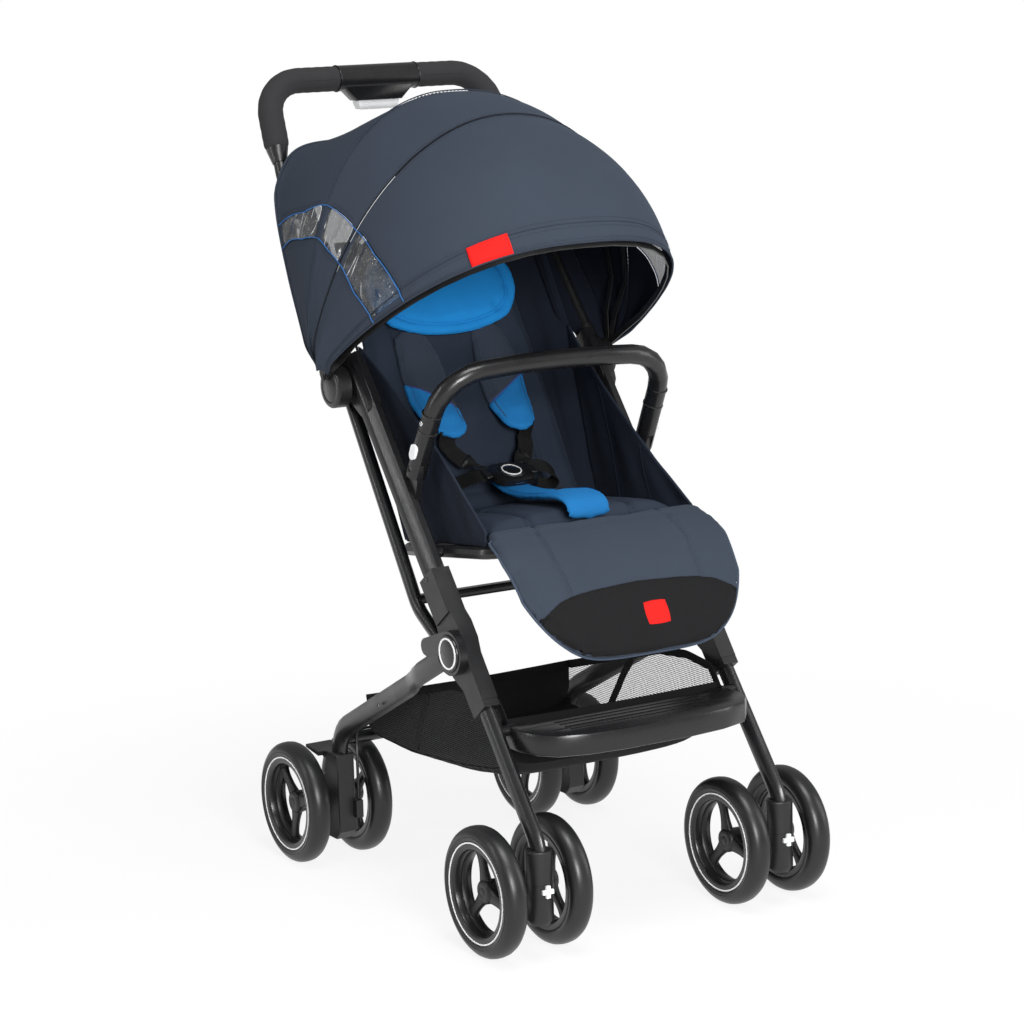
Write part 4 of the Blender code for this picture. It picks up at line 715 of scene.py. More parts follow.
def pad_mesh(surface, thickness, columns, rows, fullness):
    """A closed soft form on surface(u, v): two skins that meet in a seam round the edge."""
    def normal(u, v):
        small = 0.01
        along = surface(min(u + small, 1), v) - surface(max(u - small, -1), v)
        across = surface(u, min(v + small, 1)) - surface(u, max(v - small, -1))
        return along.cross(across).normalized()

    points, faces, place = [], [], {}
    for skin in (1, -1):
        for j in range(rows + 1):
            for i in range(columns + 1):
                edge = i in (0, columns) or j in (0, rows)
                if edge and skin < 0:
                    place[skin, i, j] = place[1, i, j]
                    continue
                u, v = sin((2 * i / columns - 1) * pi / 2), sin((2 * j / rows - 1) * pi / 2)
                half = 0.0 if edge else fullness(u, v) * thickness / 2
                place[skin, i, j] = len(points)
                points.append(surface(u, v) + normal(u, v) * half * skin)
    for skin in (1, -1):
        for j in range(rows):
            for i in range(columns):
                ring = [place[skin, i, j], place[skin, i + 1, j], place[skin, i + 1, j + 1],
                        place[skin, i, j + 1]]
                faces.append(tuple(ring if skin > 0 else ring[::-1]))
    return points, faces


def fullness_of(edge, power=3.0):
    """Full in the middle and drawn in at the sides."""
    def fullness(u, v):
        return edge + (1 - edge) * max((1 - abs(u) ** power) * (1 - abs(v) ** power), 0) ** 0.5
    return fullness


def pad(name, surface, thickness, columns, rows, finishes, slot, edge=0.25, cap=0.0, voxel=0.005):
    """A stuffed piece, blown up by simulated pressure, whose points move cap at most."""
    piece = new_piece(name, *pad_mesh(surface, thickness, columns, rows, fullness_of(edge)), finishes, slot)
    outward(piece)
    subdivided(piece)
    if cap > 0:
        puffed(piece, cap, voxel)
    piece.data.shade_smooth()
    return piece


def puffed(piece, cap, voxel):
    """Fill a closed form by cloth simulation with pressure inside and no gravity."""
    remesh = piece.modifiers.new("Remesh", "REMESH")
    remesh.mode = "VOXEL"
    remesh.voxel_size = voxel
    applied(piece)
    start = [v.co.copy() for v in piece.data.vertices]
    cloth_step = piece.modifiers.new("Cloth", "CLOTH")
    settings = cloth_step.settings
    settings.quality = 5
    settings.mass = 0.3
    settings.use_pressure = True
    settings.uniform_pressure_force = 4
    settings.effector_weights.gravity = 0
    cloth_step.point_cache.frame_end = 20
    for number in range(1, 21):
        SCENE.frame_set(number)
    graph = bpy.context.evaluated_depsgraph_get()
    blown = [v.co.copy() for v in piece.evaluated_get(graph).data.vertices]
    piece.modifiers.clear()
    SCENE.frame_set(1)
    sides = [vertex.normal.copy() for vertex in piece.data.vertices]
    for vertex, side, old, new in zip(piece.data.vertices, sides, start, blown):
        vertex.co = old + side * clamp((new - old).dot(side), -0.0003, cap)
    subdivided(piece)


def cut(piece, place, across):
    """Split the faces of a piece along a plane, so that a colour can end on a clean line."""
    work = bmesh.new()
    work.from_mesh(piece.data)
    parts = work.verts[:] + work.edges[:] + work.faces[:]
    bmesh.ops.bisect_plane(work, geom=parts, plane_co=place, plane_no=across)
    work.to_mesh(piece.data)
    work.free()
    piece.data.shade_smooth()


def grooved(piece, depth):
    """Press sewn channels into a pad: depth(point) is how far a point moves inward."""
    mesh = piece.data
    moves = [vertex.normal * -depth(vertex.co) for vertex in mesh.vertices]
    for vertex, move in zip(mesh.vertices, moves):
        vertex.co += move
    mesh.update()


def dip(distance, width, depth):
    """The depth of a rounded groove at a distance from its middle."""
    return depth * exp(-(distance / width) ** 2)


# Wheels

WHEEL_RADIUS = 0.080
WHEEL_PLACES = {"front": (0.1755, 0.0, 15), "rear": (0.1785, 0.478, 45)}
WHEEL_OFFSET = 0.0455


def ring_of(profile, finish, sides=64):
    return turned("ring", profile, (0, 0, 0), (1, 0, 0), finish, None, sides)


def spoke(turn):
    """A rounded arm from the hub to the rim barrel, wider and deeper at both ends."""
    points, faces, sides = [], [], 12
    stations = [(0.006, 0.0115, 0.0062), (0.014, 0.0100, 0.0056), (0.022, 0.0078, 0.0046),
                (0.034, 0.0066, 0.0041), (0.044, 0.0074, 0.0046), (0.0505, 0.0098, 0.0056),
                (0.0525, 0.0115, 0.0062)]
    for reach, half, deep in stations:
        for k in range(sides):
            angle = 2 * pi * k / sides
            c, s = cos(angle), sin(angle)
            across = half * abs(c) ** 0.75 * (1 if c > 0 else -1)
            x = -0.0030 + deep * abs(s) ** 0.75 * (1 if s > 0 else -1)
            y, z = reach * cos(turn) - across * sin(turn), reach * sin(turn) + across * cos(turn)
            points.append(Vector((x, y, z)))
    faces += tube_faces(len(stations) - 1, sides)
    return subdivided(outward(new_piece("arm", points, faces, BLACK_MOULDING, None)))


def wheel_form(spin):
    """One wheel with its axle along x and its outer face to +x, turned on its axle."""
    half = [(0.0622, 0.0132), (0.0640, 0.0143), (0.0675, 0.0150), (0.0710, 0.0146), (0.0745, 0.0130),
            (0.0773, 0.0103), (0.0792, 0.0066), (0.0799, 0.0025)]
    tread = half + [(0.0800, 0.0)] + [(r, -x) for r, x in reversed(half)]
    tyre = ring_of(tread + [(0.0600, -0.0110), (0.0600, 0.0110), half[0]], RUBBER, 72)
    groove = ring_of([(0.0674, 0.01495), (0.0679, 0.01565), (0.0684, 0.01495)], RUBBER, 72)
    barrel = ring_of([
        (0.0622, 0.0118), (0.0621, 0.0136), (0.0600, 0.0139), (0.0545, 0.0136), (0.0530, 0.0126),
        (0.0522, 0.0105), (0.0512, 0.0040), (0.0510, -0.0040), (0.0520, -0.0112), (0.0545, -0.0134),
        (0.0605, -0.0137), (0.0622, -0.0118),
    ], SATIN_MOULDING)
    pale_ring = ring_of([(0.0600, 0.0136), (0.0602, 0.01435), (0.0618, 0.01435), (0.0620, 0.0136)],
                        WHITE_RING, 96)
    inner_step = ring_of([(0.0505, -0.0040), (0.0492, -0.0034), (0.0488, 0.0006), (0.0500, 0.0030),
                          (0.0514, 0.0030)],
                         BLACK_MOULDING)
    arms = [spoke(2 * pi * k / 3 + pi / 2 + radians(spin)) for k in range(3)]
    hub = ring_of([
        (0.0, 0.0052), (0.0052, 0.0052), (0.0058, 0.0046), (0.0066, 0.0046), (0.0072, 0.0050),
        (0.0108, 0.0046), (0.0136, 0.0034), (0.0150, 0.0010), (0.0154, -0.0040), (0.0140, -0.0120),
        (0.0132, -0.0305), (0.0044, -0.0308),
    ], BLACK_MOULDING, 40)
    return join([tyre, groove, barrel, pale_ring, inner_step, *arms, hub], "wheel")


def make_wheels():
    for end, (x, y, spin) in WHEEL_PLACES.items():
        pattern = wheel_form(spin)
        pattern.data.shade_smooth()
        pattern.data.set_sharp_from_angle(angle=radians(50))
        for side_name, side in SIDES:
            for place, facing in (("outer", side), ("inner", -side)):
                node = f"{end}_wheel_{side_name}_{place}"
                wheel = bpy.data.objects.new(f"{node}_finished", pattern.data)
                SCENE.collection.objects.link(wheel)
                turn = Matrix() if facing > 0 else Matrix.Rotation(pi, 4, "Z")
                centre = at(side * x + facing * WHEEL_OFFSET, y, WHEEL_RADIUS)
                wheel.matrix_world = Matrix.Translation(centre) @ turn
                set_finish(wheel, "rubber_black")
                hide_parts(node)
                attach(wheel, node)
        bpy.data.objects.remove(pattern)


# Handle

KNEE = (0.173, 0.545, 0.898)
CORNER = (0.165, 0.600, 1.0135)
GRIP_RADIUS = 0.0165
GRIP_END_X = 0.0604


def make_grips():
    rise = (Vector(CORNER) - Vector(KNEE)).normalized()
    for name, side in SIDES:
        start = Vector(KNEE) + rise * 0.0354
        path = rounded([start, Vector(CORNER), Vector((GRIP_END_X, CORNER[1], CORNER[2]))], 0.052, 14)
        line = resampled([at(side * p.x, p.y, p.z) for p in path], 0.004)
        radius = [GRIP_RADIUS] * len(line)
        radius[0], radius[1], radius[-1] = 0.0143, 0.0161, 0.0160
        radius = [r + 0.00018 * sin(i * 1.7) * (1 if 2 < i < len(line) - 2 else 0)
                  for i, r in enumerate(radius)]
        grip = cord(f"grip_foam_{name}", line, radius, FOAM, "foam_black", 28)
        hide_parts(f"handle_grip_{name}")
        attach(grip, "handle_frame")
        seam = resampled([at(side * p.x, p.y - GRIP_RADIUS - 0.0001, p.z) for p in path[3:]], 0.004)
        ridge = cord(f"grip_seam_{name}", seam[4:-2], 0.0004, FOAM, "foam_black", 6)
        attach(ridge, "handle_frame")
    for side in (1, -1):
        collar = turned("hub_collar_left" if side > 0 else "hub_collar_right",
                        [(0.0150, -0.0006), (0.0177, -0.0006), (0.0180, 0.0002), (0.0177, 0.0012),
                         (0.0150, 0.0012)],
                        at(side * 0.0590, CORNER[1], CORNER[2]), (side, 0, 0), SATIN_MOULDING,
                        "plastic_black", 40)
        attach(collar, "handle_frame")


# Canopy

PIVOT = (0.373, 0.656)
HOOPS = [(55.5, 0.228, 0.326, 7.0), (87.5, 0.232, 0.345, 2.3), (109.0, 0.2345, 0.337, 2.1),
         (149.0, 0.2225, 0.334, 2.5)]
HEM_ANGLE, BRIM_ANGLE = HOOPS[0][0], HOOPS[3][0]
SAGS = (0.016, 0.001, -0.006)
DOME = 0.007
CLOTH_THICKNESS = 0.0014
FOOT_REACH = 0.010
WINDOW_INNER = [(55, 39.0), (65, 39.0), (76, 38.3), (87.5, 39.4), (97, 37.2), (109, 35.8), (131, 34.3),
                (149, 35.8)]
WINDOW_OUTER = [(55, 44.0), (76, 44.4), (84, 46.6), (87.5, 47.4), (97, 46.4), (109, 45.2), (127, 44.8),
                (149, 46.8)]


def hoop_point(hoop, t):
    """(x, reach) of a hoop seen at angle t from its left foot, pi at its right foot."""
    _, half_width, height, roundness = hoop
    along, up = abs(cos(t)) / half_width, max(sin(t), 0.0) / height
    scale = (along ** roundness + up ** roundness) ** (-1 / roundness)
    return scale * cos(t), scale * sin(t)


def hoop_at(angle):
    for k in range(3):
        if angle <= HOOPS[k + 1][0] or k == 2:
            share = clamp((angle - HOOPS[k][0]) / (HOOPS[k + 1][0] - HOOPS[k][0]))
            hoop = [mix(a, b, share) for a, b in zip(HOOPS[k], HOOPS[k + 1])]
            if k == 0:
                hoop[3] = mix(HOOPS[0][3], HOOPS[1][3], share ** 0.5)
            if k == 2:
                hoop[1] += DOME * sin(pi * share)
            hoop[2] -= SAGS[k] * sin(pi * share)
            return hoop, (1 - share if k == 0 else 0.0)


def foot_turn(angle):
    hoop, _ = hoop_at(angle)
    low, high = 0.0, pi / 2
    for _ in range(24):
        middle = (low + high) / 2
        if hoop_point(hoop, middle)[1] < FOOT_REACH:
            low = middle
        else:
            high = middle
    return degrees(low)


def canopy_bare(angle, turn):
    """A point of the canopy, at an angle from the rear and a turn in degrees from the left foot."""
    hoop, rear = hoop_at(angle)
    x, reach = hoop_point(hoop, radians(turn))
    if rear > 0:
        x *= 1 - 0.40 * reach * rear
        angle += 4.0 * smooth((reach - 0.260) / 0.045) * rear
    x *= mix(0.955, 1.0, smooth((reach - 0.004) / 0.045))
    direction = Vector((cos(radians(angle)), sin(radians(angle))))
    place = Vector(PIVOT) + direction * reach
    return at(x, *place), reach


def canopy_point(angle, turn, lift=0.0):
    """The same with the cloth's own soft folds, and lifted along its outward side."""
    place, reach = canopy_bare(angle, turn)
    ahead, behind = min(angle + 0.4, BRIM_ANGLE), max(angle - 0.4, HEM_ANGLE)
    along = canopy_bare(ahead, turn)[0] - canopy_bare(behind, turn)[0]
    across = canopy_bare(angle, turn + 0.4)[0] - canopy_bare(angle, turn - 0.4)[0]
    out = across.cross(along).normalized()
    middle = at(0, *PIVOT)
    if out.dot(place - middle) < 0:
        out = -out
    gather = exp(-(reach - FOOT_REACH) / 0.07)
    folds = 0.0016 * gather * sin(radians(angle) * 17 + (1 if place.x > 0 else 2.3))
    stretch = 0.0011 * (noise.noise(Vector((place.x * 9, place.y * 9, place.z * 9))))
    fine = 0.0004 * noise.noise(Vector((place.x * 31, place.y * 31, place.z * 31 + 4)))
    near_bow = min(abs(angle - h[0]) for h in HOOPS)
    ridge = 0.0006 * exp(-(near_bow / 1.3) ** 2)
    ridge += 0.0016 * exp(-((angle - 146.6) / 1.3) ** 2) - 0.0010 * exp(-((angle - 144.4) / 0.5) ** 2)
    return place + out * (folds + stretch + fine + ridge + lift)


CANOPY_CENTRE = at(0, *PIVOT)


def ride_canopy(piece, rear):
    """Bake the piece's place into its mesh; rear and front parts are treated alike."""
    if rear:
        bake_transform(piece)
    else:
        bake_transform(piece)
    return piece


def turns_across(angle):
    """The turns at which a row of the canopy has points, with the window's edges among them."""
    foot, inner, outer = foot_turn(angle), stepped(WINDOW_INNER, angle), stepped(WINDOW_OUTER, angle)
    half = [mix(foot, inner, k / 9) for k in range(9)] + [mix(inner, outer, k / 4) for k in range(4)]
    half += [mix(outer, 90, k / 14) for k in range(14)]
    return half + [90.0] + [180 - turn for turn in reversed(half)]


def angles_between(stops, step):
    angles = []
    for a, b in zip(stops, stops[1:]):
        count = max(1, round((b - a) / step))
        angles += [mix(a, b, k / count) for k in range(count)]
    return angles + [stops[-1]]


REAR_STOPS = [55.5, 57.5, 85.3, 87.5, 89.7, 106.8, 109.0]
FRONT_STOPS = [109.0, 111.2, 144.6, 146.2, 149.0]
ROW_STEP = 2.2
PANES = [(57.5, 85.3), (89.7, 106.8), (111.2, 146.2)]
WINDOW_COLUMNS = set(range(9, 13)) | set(range(41, 45))


def canopy_sheet(name, stops, step, finish, lift, in_window, rear):
    """Part of the canopy between two angles: its cloth, or with in_window its clear panes."""
    angles = angles_between(stops, step)
    rows = [turns_across(angle) for angle in angles]
    columns = len(rows[0])
    points = [canopy_point(angle, turn, lift) for angle, row in zip(angles, rows) for turn in row]
    faces = []
    for j in range(len(angles) - 1):
        middle = (angles[j] + angles[j + 1]) / 2
        in_pane = any(a < middle < b for a, b in PANES)
        for i in range(columns - 1):
            clear = in_pane and i in WINDOW_COLUMNS
            if clear == in_window:
                k = j * columns + i
                faces.append((k, k + columns, k + columns + 1, k + 1))
    sheet = new_piece(name, points, faces, finish, "slate_cloth")
    work = bmesh.new()
    work.from_mesh(sheet.data)
    loose = [v for v in work.verts if not v.link_faces]
    bmesh.ops.delete(work, geom=loose, context="VERTS")
    work.to_mesh(sheet.data)
    work.free()
    facing = sum(face.normal.dot(face.center - CANOPY_CENTRE) for face in sheet.data.polygons)
    if facing < 0:
        sheet.data.flip_normals()
    area = sum(face.area for face in sheet.data.polygons)
    if not in_window:
        skin = sheet.modifiers.new("Solidify", "SOLIDIFY")
        skin.thickness = CLOTH_THICKNESS
        skin.offset = -1
        skin.material_offset = 1
        applied(sheet)
    subdivided(sheet)
    ride_canopy(sheet, rear)
    return sheet, area


def canopy_line(angle_turns, lift):
    return [canopy_point(angle, turn, lift) for angle, turn in angle_turns]


def across_canopy(angle, low, high, step=1.5):
    count = max(2, round((high - low) / step))
    return [(angle, mix(low, high, k / count)) for k in range(count + 1)]


def along_canopy(low, high, turn_of, step=1.5):
    count = max(2, round((high - low) / step))
    return [(mix(low, high, k / count), turn_of(mix(low, high, k / count))) for k in range(count + 1)]


def make_canopy():
    rear, rear_area = canopy_sheet("canopy_rear_cloth", REAR_STOPS, ROW_STEP,
                                   [SLATE_CLOTH, LINING], 0.0, False, True)
    front, front_area = canopy_sheet("canopy_front_cloth", FRONT_STOPS, ROW_STEP,
                                     [SLATE_CLOTH, LINING], 0.0, False, False)
    # Outer faces of the rear panel get the darker slate: partly its own tone, partly painted shade.
    for face in rear.data.polygons:
        outer = face.material_index == 0
        place = face.center - CANOPY_CENTRE
        if outer and degrees(atan2(place.z, place.y)) < 86.5:
            face.material_index = 2
    rear.data.materials.append(REAR_CLOTH)
    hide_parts("canopy_rear_panel", "canopy_mid_panel")
    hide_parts("canopy_front_panel")
    rear_trim, front_trim = [], []
    panes_rear, _ = canopy_sheet("canopy_windows_rear", REAR_STOPS, ROW_STEP,
                                 WINDOW_FILM, -0.0006, True, True)
    panes_front, _ = canopy_sheet("canopy_windows_front", FRONT_STOPS, ROW_STEP,
                                  WINDOW_FILM, -0.0006, True, False)
    for mirror in (False, True):
        word = "right" if mirror else "left"

        def flip(turn):
            return 180 - turn if mirror else turn

        for edge_name, edge in (("inner", WINDOW_INNER), ("outer", WINDOW_OUTER)):
            for part, low, high, trim, is_rear in (("rear", 55.6, 109.0, rear_trim, True),
                                                   ("front", 109.0, 148.6, front_trim, False)):
                line = canopy_line(along_canopy(low, high, lambda a: flip(stepped(edge, a))), 0.0006)
                piping = cord(f"window_piping_{edge_name}_{part}_{word}", line, 0.0007, BLUE_PIPING,
                              "blue_cloth", 6)
                trim.append(ride_canopy(piping, is_rear))
        for label, (low, high) in zip("abc", PANES):
            is_rear = label != "c"
            offset = 1.3
            ring = along_canopy(low + 1, high - 1, lambda a: flip(stepped(WINDOW_INNER, a) - offset))
            row = stitched(f"window_stitches_{label}_{word}", canopy_line(ring, 0.0003), SLATE_THREAD,
                           "slate_cloth")
            trim = rear_trim if is_rear else front_trim
            trim.append(ride_canopy(row, is_rear))
            ring = along_canopy(low + 1, high - 1, lambda a: flip(stepped(WINDOW_OUTER, a) + offset))
            row = stitched(f"window_top_stitches_{label}_{word}", canopy_line(ring, 0.0003), SLATE_THREAD,
                           "slate_cloth")
            trim.append(ride_canopy(row, is_rear))
    for label, angle, is_rear, radius in (("rear_hem", 55.6, True, 0.0015),
                                          ("ridge_seam", 87.5, True, 0.0008),
                                          ("mid_seam", 109.0, True, 0.0006),
                                          ("brim_seam", 144.4, False, 0.0007),
                                          ("brim_hem", 148.9, False, 0.0013)):
        low = foot_turn(angle)
        line = canopy_line(across_canopy(angle, low, 180 - low, 1.2), 0.0002 if "hem" in label else 0.0006)
        finish = BLACK_CLOTH if label == "mid_seam" else REAR_CLOTH
        seam = cord(f"canopy_{label}", line, radius, finish, "slate_cloth", 8)
        (rear_trim if is_rear else front_trim).append(ride_canopy(seam, is_rear))
    for label, angle, is_rear in (("brim_a", 147.9, False), ("brim_b", 143.4, False),
                                  ("brim_c", 145.3, False), ("mid_a", 107.9, True), ("mid_b", 110.1, False),
                                  ("rear_a", 57.0, True), ("ridge_a", 86.6, True), ("ridge_b", 88.4, True)):
        low = foot_turn(angle) + 6
        stops = [(low, 180 - low)] if is_rear or angle < 111 or angle > 146.5 else [
            (low, stepped(WINDOW_INNER, angle) - 1),
            (stepped(WINDOW_OUTER, angle) + 1, 179 - stepped(WINDOW_OUTER, angle)),
            (181 - stepped(WINDOW_INNER, angle), 180 - low)]
        for k, (a, b) in enumerate(stops):
            row = stitched(f"canopy_stitches_{label}_{k}", canopy_line(across_canopy(angle, a, b), 0.0003),
                           SLATE_THREAD, "slate_cloth", 0.0034, 0.0016)
            (rear_trim if is_rear else front_trim).append(ride_canopy(row, is_rear))
    make_canopy_label(front_trim)


def make_canopy_label(trim):
    """The plain red label sewn to the brim, a little proud of the cloth."""
    columns, rows = 12, 6
    points, faces = [], []
    for j in range(rows + 1):
        for i in range(columns + 1):
            angle = mix(143.9, 148.8, j / rows)
            turn = mix(115.8, 106.9, i / columns)
            lift = 0.0010 + 0.0005 * sin(pi * i / columns) * sin(pi * j / rows)
            points.append(canopy_point(angle, turn, lift))
    faces += grid_faces(columns, rows)
    label = outward(new_piece("canopy_label", points, faces, RED_LABEL, "slate_cloth"))
    thickened(label, 0.0007)
    trim.append(ride_canopy(label, False))
    ring = [(144.2, 115.4), (144.2, 107.3), (148.4, 107.3), (148.4, 115.4), (144.2, 115.4)]
    dense = [(mix(a[0], b[0], k / 8), mix(a[1], b[1], k / 8))
             for a, b in zip(ring, ring[1:]) for k in range(8)] + [ring[-1]]
    edge = cord("canopy_label_edge", canopy_line(dense, 0.0016), 0.0003, RED_LABEL, "slate_cloth", 5)
    trim.append(ride_canopy(edge, False))


# Seat

SEAT_HALF = 0.137
BACK_ANGLE = radians(60)
REAR_RAIL = (0.300, 0.438)


def seat_top(y):
    return mix(0.4857, 0.4637, (y - 0.105) / 0.190)


def back_point(x, up, out):
    y = REAR_RAIL[0] + up * cos(BACK_ANGLE) - out * sin(BACK_ANGLE)
    z = REAR_RAIL[1] + up * sin(BACK_ANGLE) + out * cos(BACK_ANGLE)
    return at(x, y, z)


def on_back(point):
    """(x, up, out) of a point seen from the backrest."""
    y, z = point.y - FRONT_AXLE_Y - REAR_RAIL[0], point.z - REAR_RAIL[1]
    return point.x, y * cos(BACK_ANGLE) + z * sin(BACK_ANGLE), z * cos(BACK_ANGLE) - y * sin(BACK_ANGLE)


BACK_OUT = back_point(0, 0, 1) - back_point(0, 0, 0)


def make_seat_cushion():
    def surface(u, v):
        y = mix(0.108, 0.292, (v + 1) / 2)
        return at(u * (SEAT_HALF - 0.003), y, seat_top(y) - 0.004 * u * u)

    cushion = pad("seat_cushion_padded", surface, 0.026, 22, 16, NAVY_CLOTH, "navy_cloth", 0.35, 0.006)

    def depth(p):
        u = abs(p.x) / SEAT_HALF
        cross_seam = dip(p.y - FRONT_AXLE_Y - 0.235, 0.005, 0.0025) * (u < 0.55)
        return dip(u * SEAT_HALF - 0.075, 0.0055, 0.0055) + cross_seam

    grooved(cushion, depth)
    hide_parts("seat_cushion")
    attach(cushion, "main_frame")
    tree = surface_tree(cushion)
    for name, side in SIDES:
        for k, x in enumerate((0.0715, 0.0785)):
            line = [at(side * x, mix(0.112, 0.288, j / 30), 0.48) for j in range(31)]
            row = stitched(f"seat_stitches_{k}_{name}", laid(line, tree, (0, 0, 1)), NAVY_THREAD,
                           "navy_cloth")
            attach(row, "main_frame")


def make_backrest():
    def surface(u, v):
        up = mix(0.013, 0.427, (v + 1) / 2)
        half = mix(SEAT_HALF - 0.007, 0.123, (v + 1) / 2)
        return back_point(u * half, up, 0.004 * u * u)

    back = pad("backrest_padded", surface, 0.015, 22, 30, NAVY_CLOTH, "navy_cloth", 0.35, 0.0050)

    def depth(p):
        x, up, out = on_back(p)
        if out < -0.002:
            return 0.0
        side_channels = dip(abs(x) - 0.079, 0.0050, 0.0045)
        cross_seam = dip(up - 0.222, 0.0040, 0.0032) * (abs(x) < 0.080)
        low_seam = dip(up - 0.060, 0.0050, 0.0028) * (abs(x) < 0.080)
        return side_channels + cross_seam + low_seam

    grooved(back, depth)
    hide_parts("backrest")
    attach(back, "back")
    tree = surface_tree(back)
    for name, side in SIDES:
        line = [back_point(side * 0.0825, mix(0.02, 0.42, j / 50), 0.02) for j in range(51)]
        row = stitched(f"back_stitches_{name}", laid(line, tree, BACK_OUT), NAVY_THREAD, "navy_cloth")
        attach(row, "back")
    line = [back_point(mix(-0.078, 0.078, j / 30), 0.2265, 0.02) for j in range(31)]
    row = stitched("back_stitches_cross", laid(line, tree, BACK_OUT), NAVY_THREAD, "navy_cloth")
    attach(row, "back")
    edge = [back_point(mix(-0.128, 0.128, j / 30), 0.0135, 0.004) for j in range(31)]
    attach(cord("back_lower_piping", laid(edge, tree, BACK_OUT), 0.0012, SLATE_PIPING, "navy_cloth", 6),
            "back")


def squared(u, v, roundness):
    """A square grid pressed into an oval."""
    return u * (1 - v * v / roundness) ** 0.5, v * (1 - u * u / roundness) ** 0.5


HEAD_UP = 0.340
HEAD_HALF_WIDTH, HEAD_HALF_HEIGHT = 0.113, 0.0625
HEAD_ROUNDNESS = 2.5


def make_headrest():
    def surface(u, v):
        a, b = squared(u, v, HEAD_ROUNDNESS)
        droop = 0.006 * (1 - a * a) * (b < 0)
        return back_point(a * HEAD_HALF_WIDTH, HEAD_UP + b * HEAD_HALF_HEIGHT - droop, 0.0232 + 0.007 * a * a)

    head = pad("headrest_padded", surface, 0.019, 22, 14, BLUE_CLOTH, "blue_cloth", 0.45, 0.0040, 0.0045)

    def rim(p):
        x, up, _ = on_back(p)
        a, b = x / HEAD_HALF_WIDTH, (up - HEAD_UP + 0.003) / HEAD_HALF_HEIGHT
        return (abs(a) ** HEAD_ROUNDNESS + abs(b) ** HEAD_ROUNDNESS) ** (1 / HEAD_ROUNDNESS)

    def depth(p):
        if on_back(p)[2] < 0.020:
            return 0.0
        return dip((rim(p) - 0.84) * 0.07, 0.0026, 0.0024)

    grooved(head, depth)
    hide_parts("headrest")
    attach(head, "back")
    tree = surface_tree(head)
    for k, share in enumerate((0.855, 0.805)):
        line = []
        for j in range(97):
            turn = 2 * pi * j / 96
            c, s = cos(turn), sin(turn)
            scale = share * (abs(c) ** HEAD_ROUNDNESS + abs(s) ** HEAD_ROUNDNESS) ** (-1 / HEAD_ROUNDNESS)
            line.append(back_point(c * scale * HEAD_HALF_WIDTH,
                                   HEAD_UP - 0.003 + s * scale * HEAD_HALF_HEIGHT, 0.035))
        row = stitched(f"headrest_stitches_{k}", laid(line, tree, BACK_OUT), BLUE_THREAD, "blue_cloth")
        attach(row, "back")


def make_shoulder_pad(name, side):
    def surface(u, v):
        a, b = squared(u, v, 3.6)
        share = (b + 1) / 2
        up = mix(0.124, 0.290, share)
        half = stepped([(0, 0.0250), (0.25, 0.0330), (0.6, 0.0345), (1, 0.0285)], share)
        centre = stepped([(0, 0.0500), (0.35, 0.0555), (1, 0.0580)], share)
        lift = 0.0107 + 0.0075 + 0.024 * smooth((0.19 - up) / 0.07)
        lift = lift - 0.004 * a * a - 0.004 * smooth((up - 0.24) / 0.04)
        return back_point(side * centre + a * half, up, lift)

    def border(x):
        """Where the slate part ends and the blue part starts; lower on the inner side."""
        return 0.192 + (abs(x) - 0.056) * 0.62

    piece = pad(f"shoulder_pad_{name}_padded", surface, 0.0110, 12, 22, [DARK_CLOTH, SHADED_BLUE_CLOTH],
                "slate_cloth", 0.5, 0.0030, 0.0035)
    cut(piece, back_point(side * 0.056, border(0.056), 0.0), (back_point(side * 1.056, border(1.056), 0.0)
        - back_point(side * 0.056, border(0.056), 0.0)).cross(BACK_OUT))
    for face in piece.data.polygons:
        face.material_index = 1 if on_back(face.center)[1] < border(face.center.x) else 0

    def depth(p):
        x, up, _ = on_back(p)
        return dip(up - border(x), 0.0020, 0.0016)

    grooved(piece, depth)
    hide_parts(f"shoulder_pad_{name}")
    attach(piece, "back")
    tree = surface_tree(piece)
    line = [back_point(side * mix(0.0285, 0.0835, j / 16), border(mix(0.0285, 0.0835, j / 16)), 0.06)
            for j in range(17)]
    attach(cord(f"shoulder_piping_{name}", laid(line, tree, BACK_OUT, 0.0002), 0.0009, VIOLET_PIPING,
                 "blue_cloth", 6),
            "back")
    for share in (-0.74, 0.74):
        line = []
        for j in range(31):
            v = mix(-0.80, 0.86, j / 30)
            line.append(surface(share, v) + BACK_OUT * 0.02)
        if share * side < 0:
            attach(cord(f"shoulder_edge_{name}", laid(line, tree, BACK_OUT, 0.0001), 0.0006, SLATE_PIPING,
                         "slate_cloth", 6), "back")
        else:
            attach(stitched(f"shoulder_stitches_{name}", laid(line, tree, BACK_OUT), SLATE_THREAD,
                             "slate_cloth"),
                    "back")


def ribbon(name, line, wide, half_width, thickness, finish, slot):
    """Flat webbing along a line; wide(i) is the direction across it, edges slightly rounded."""
    points, faces = [], []
    count = len(line)
    section = [(-1, 0), (-0.94, 0.8), (-0.5, 1), (0, 1), (0.5, 1), (0.94, 0.8), (1, 0), (0.94, -0.8),
               (0.5, -1), (0, -1), (-0.5, -1), (-0.94, -0.8)]
    for i, place in enumerate(line):
        ahead = (line[min(i + 1, count - 1)] - line[max(i - 1, 0)]).normalized()
        side = wide(i / (count - 1))
        side = (side - ahead * side.dot(ahead)).normalized()
        up = ahead.cross(side)
        half = half_width(i / (count - 1)) if callable(half_width) else half_width
        for a, b in section:
            points.append(place + side * a * half + up * b * thickness / 2)
    size = len(section)
    faces += tube_faces(count - 1, size)
    faces.append(tuple(range(size)))
    faces.append(tuple((count - 1) * size + k for k in range(size)))
    return outward(new_piece(name, points, faces, finish, slot))


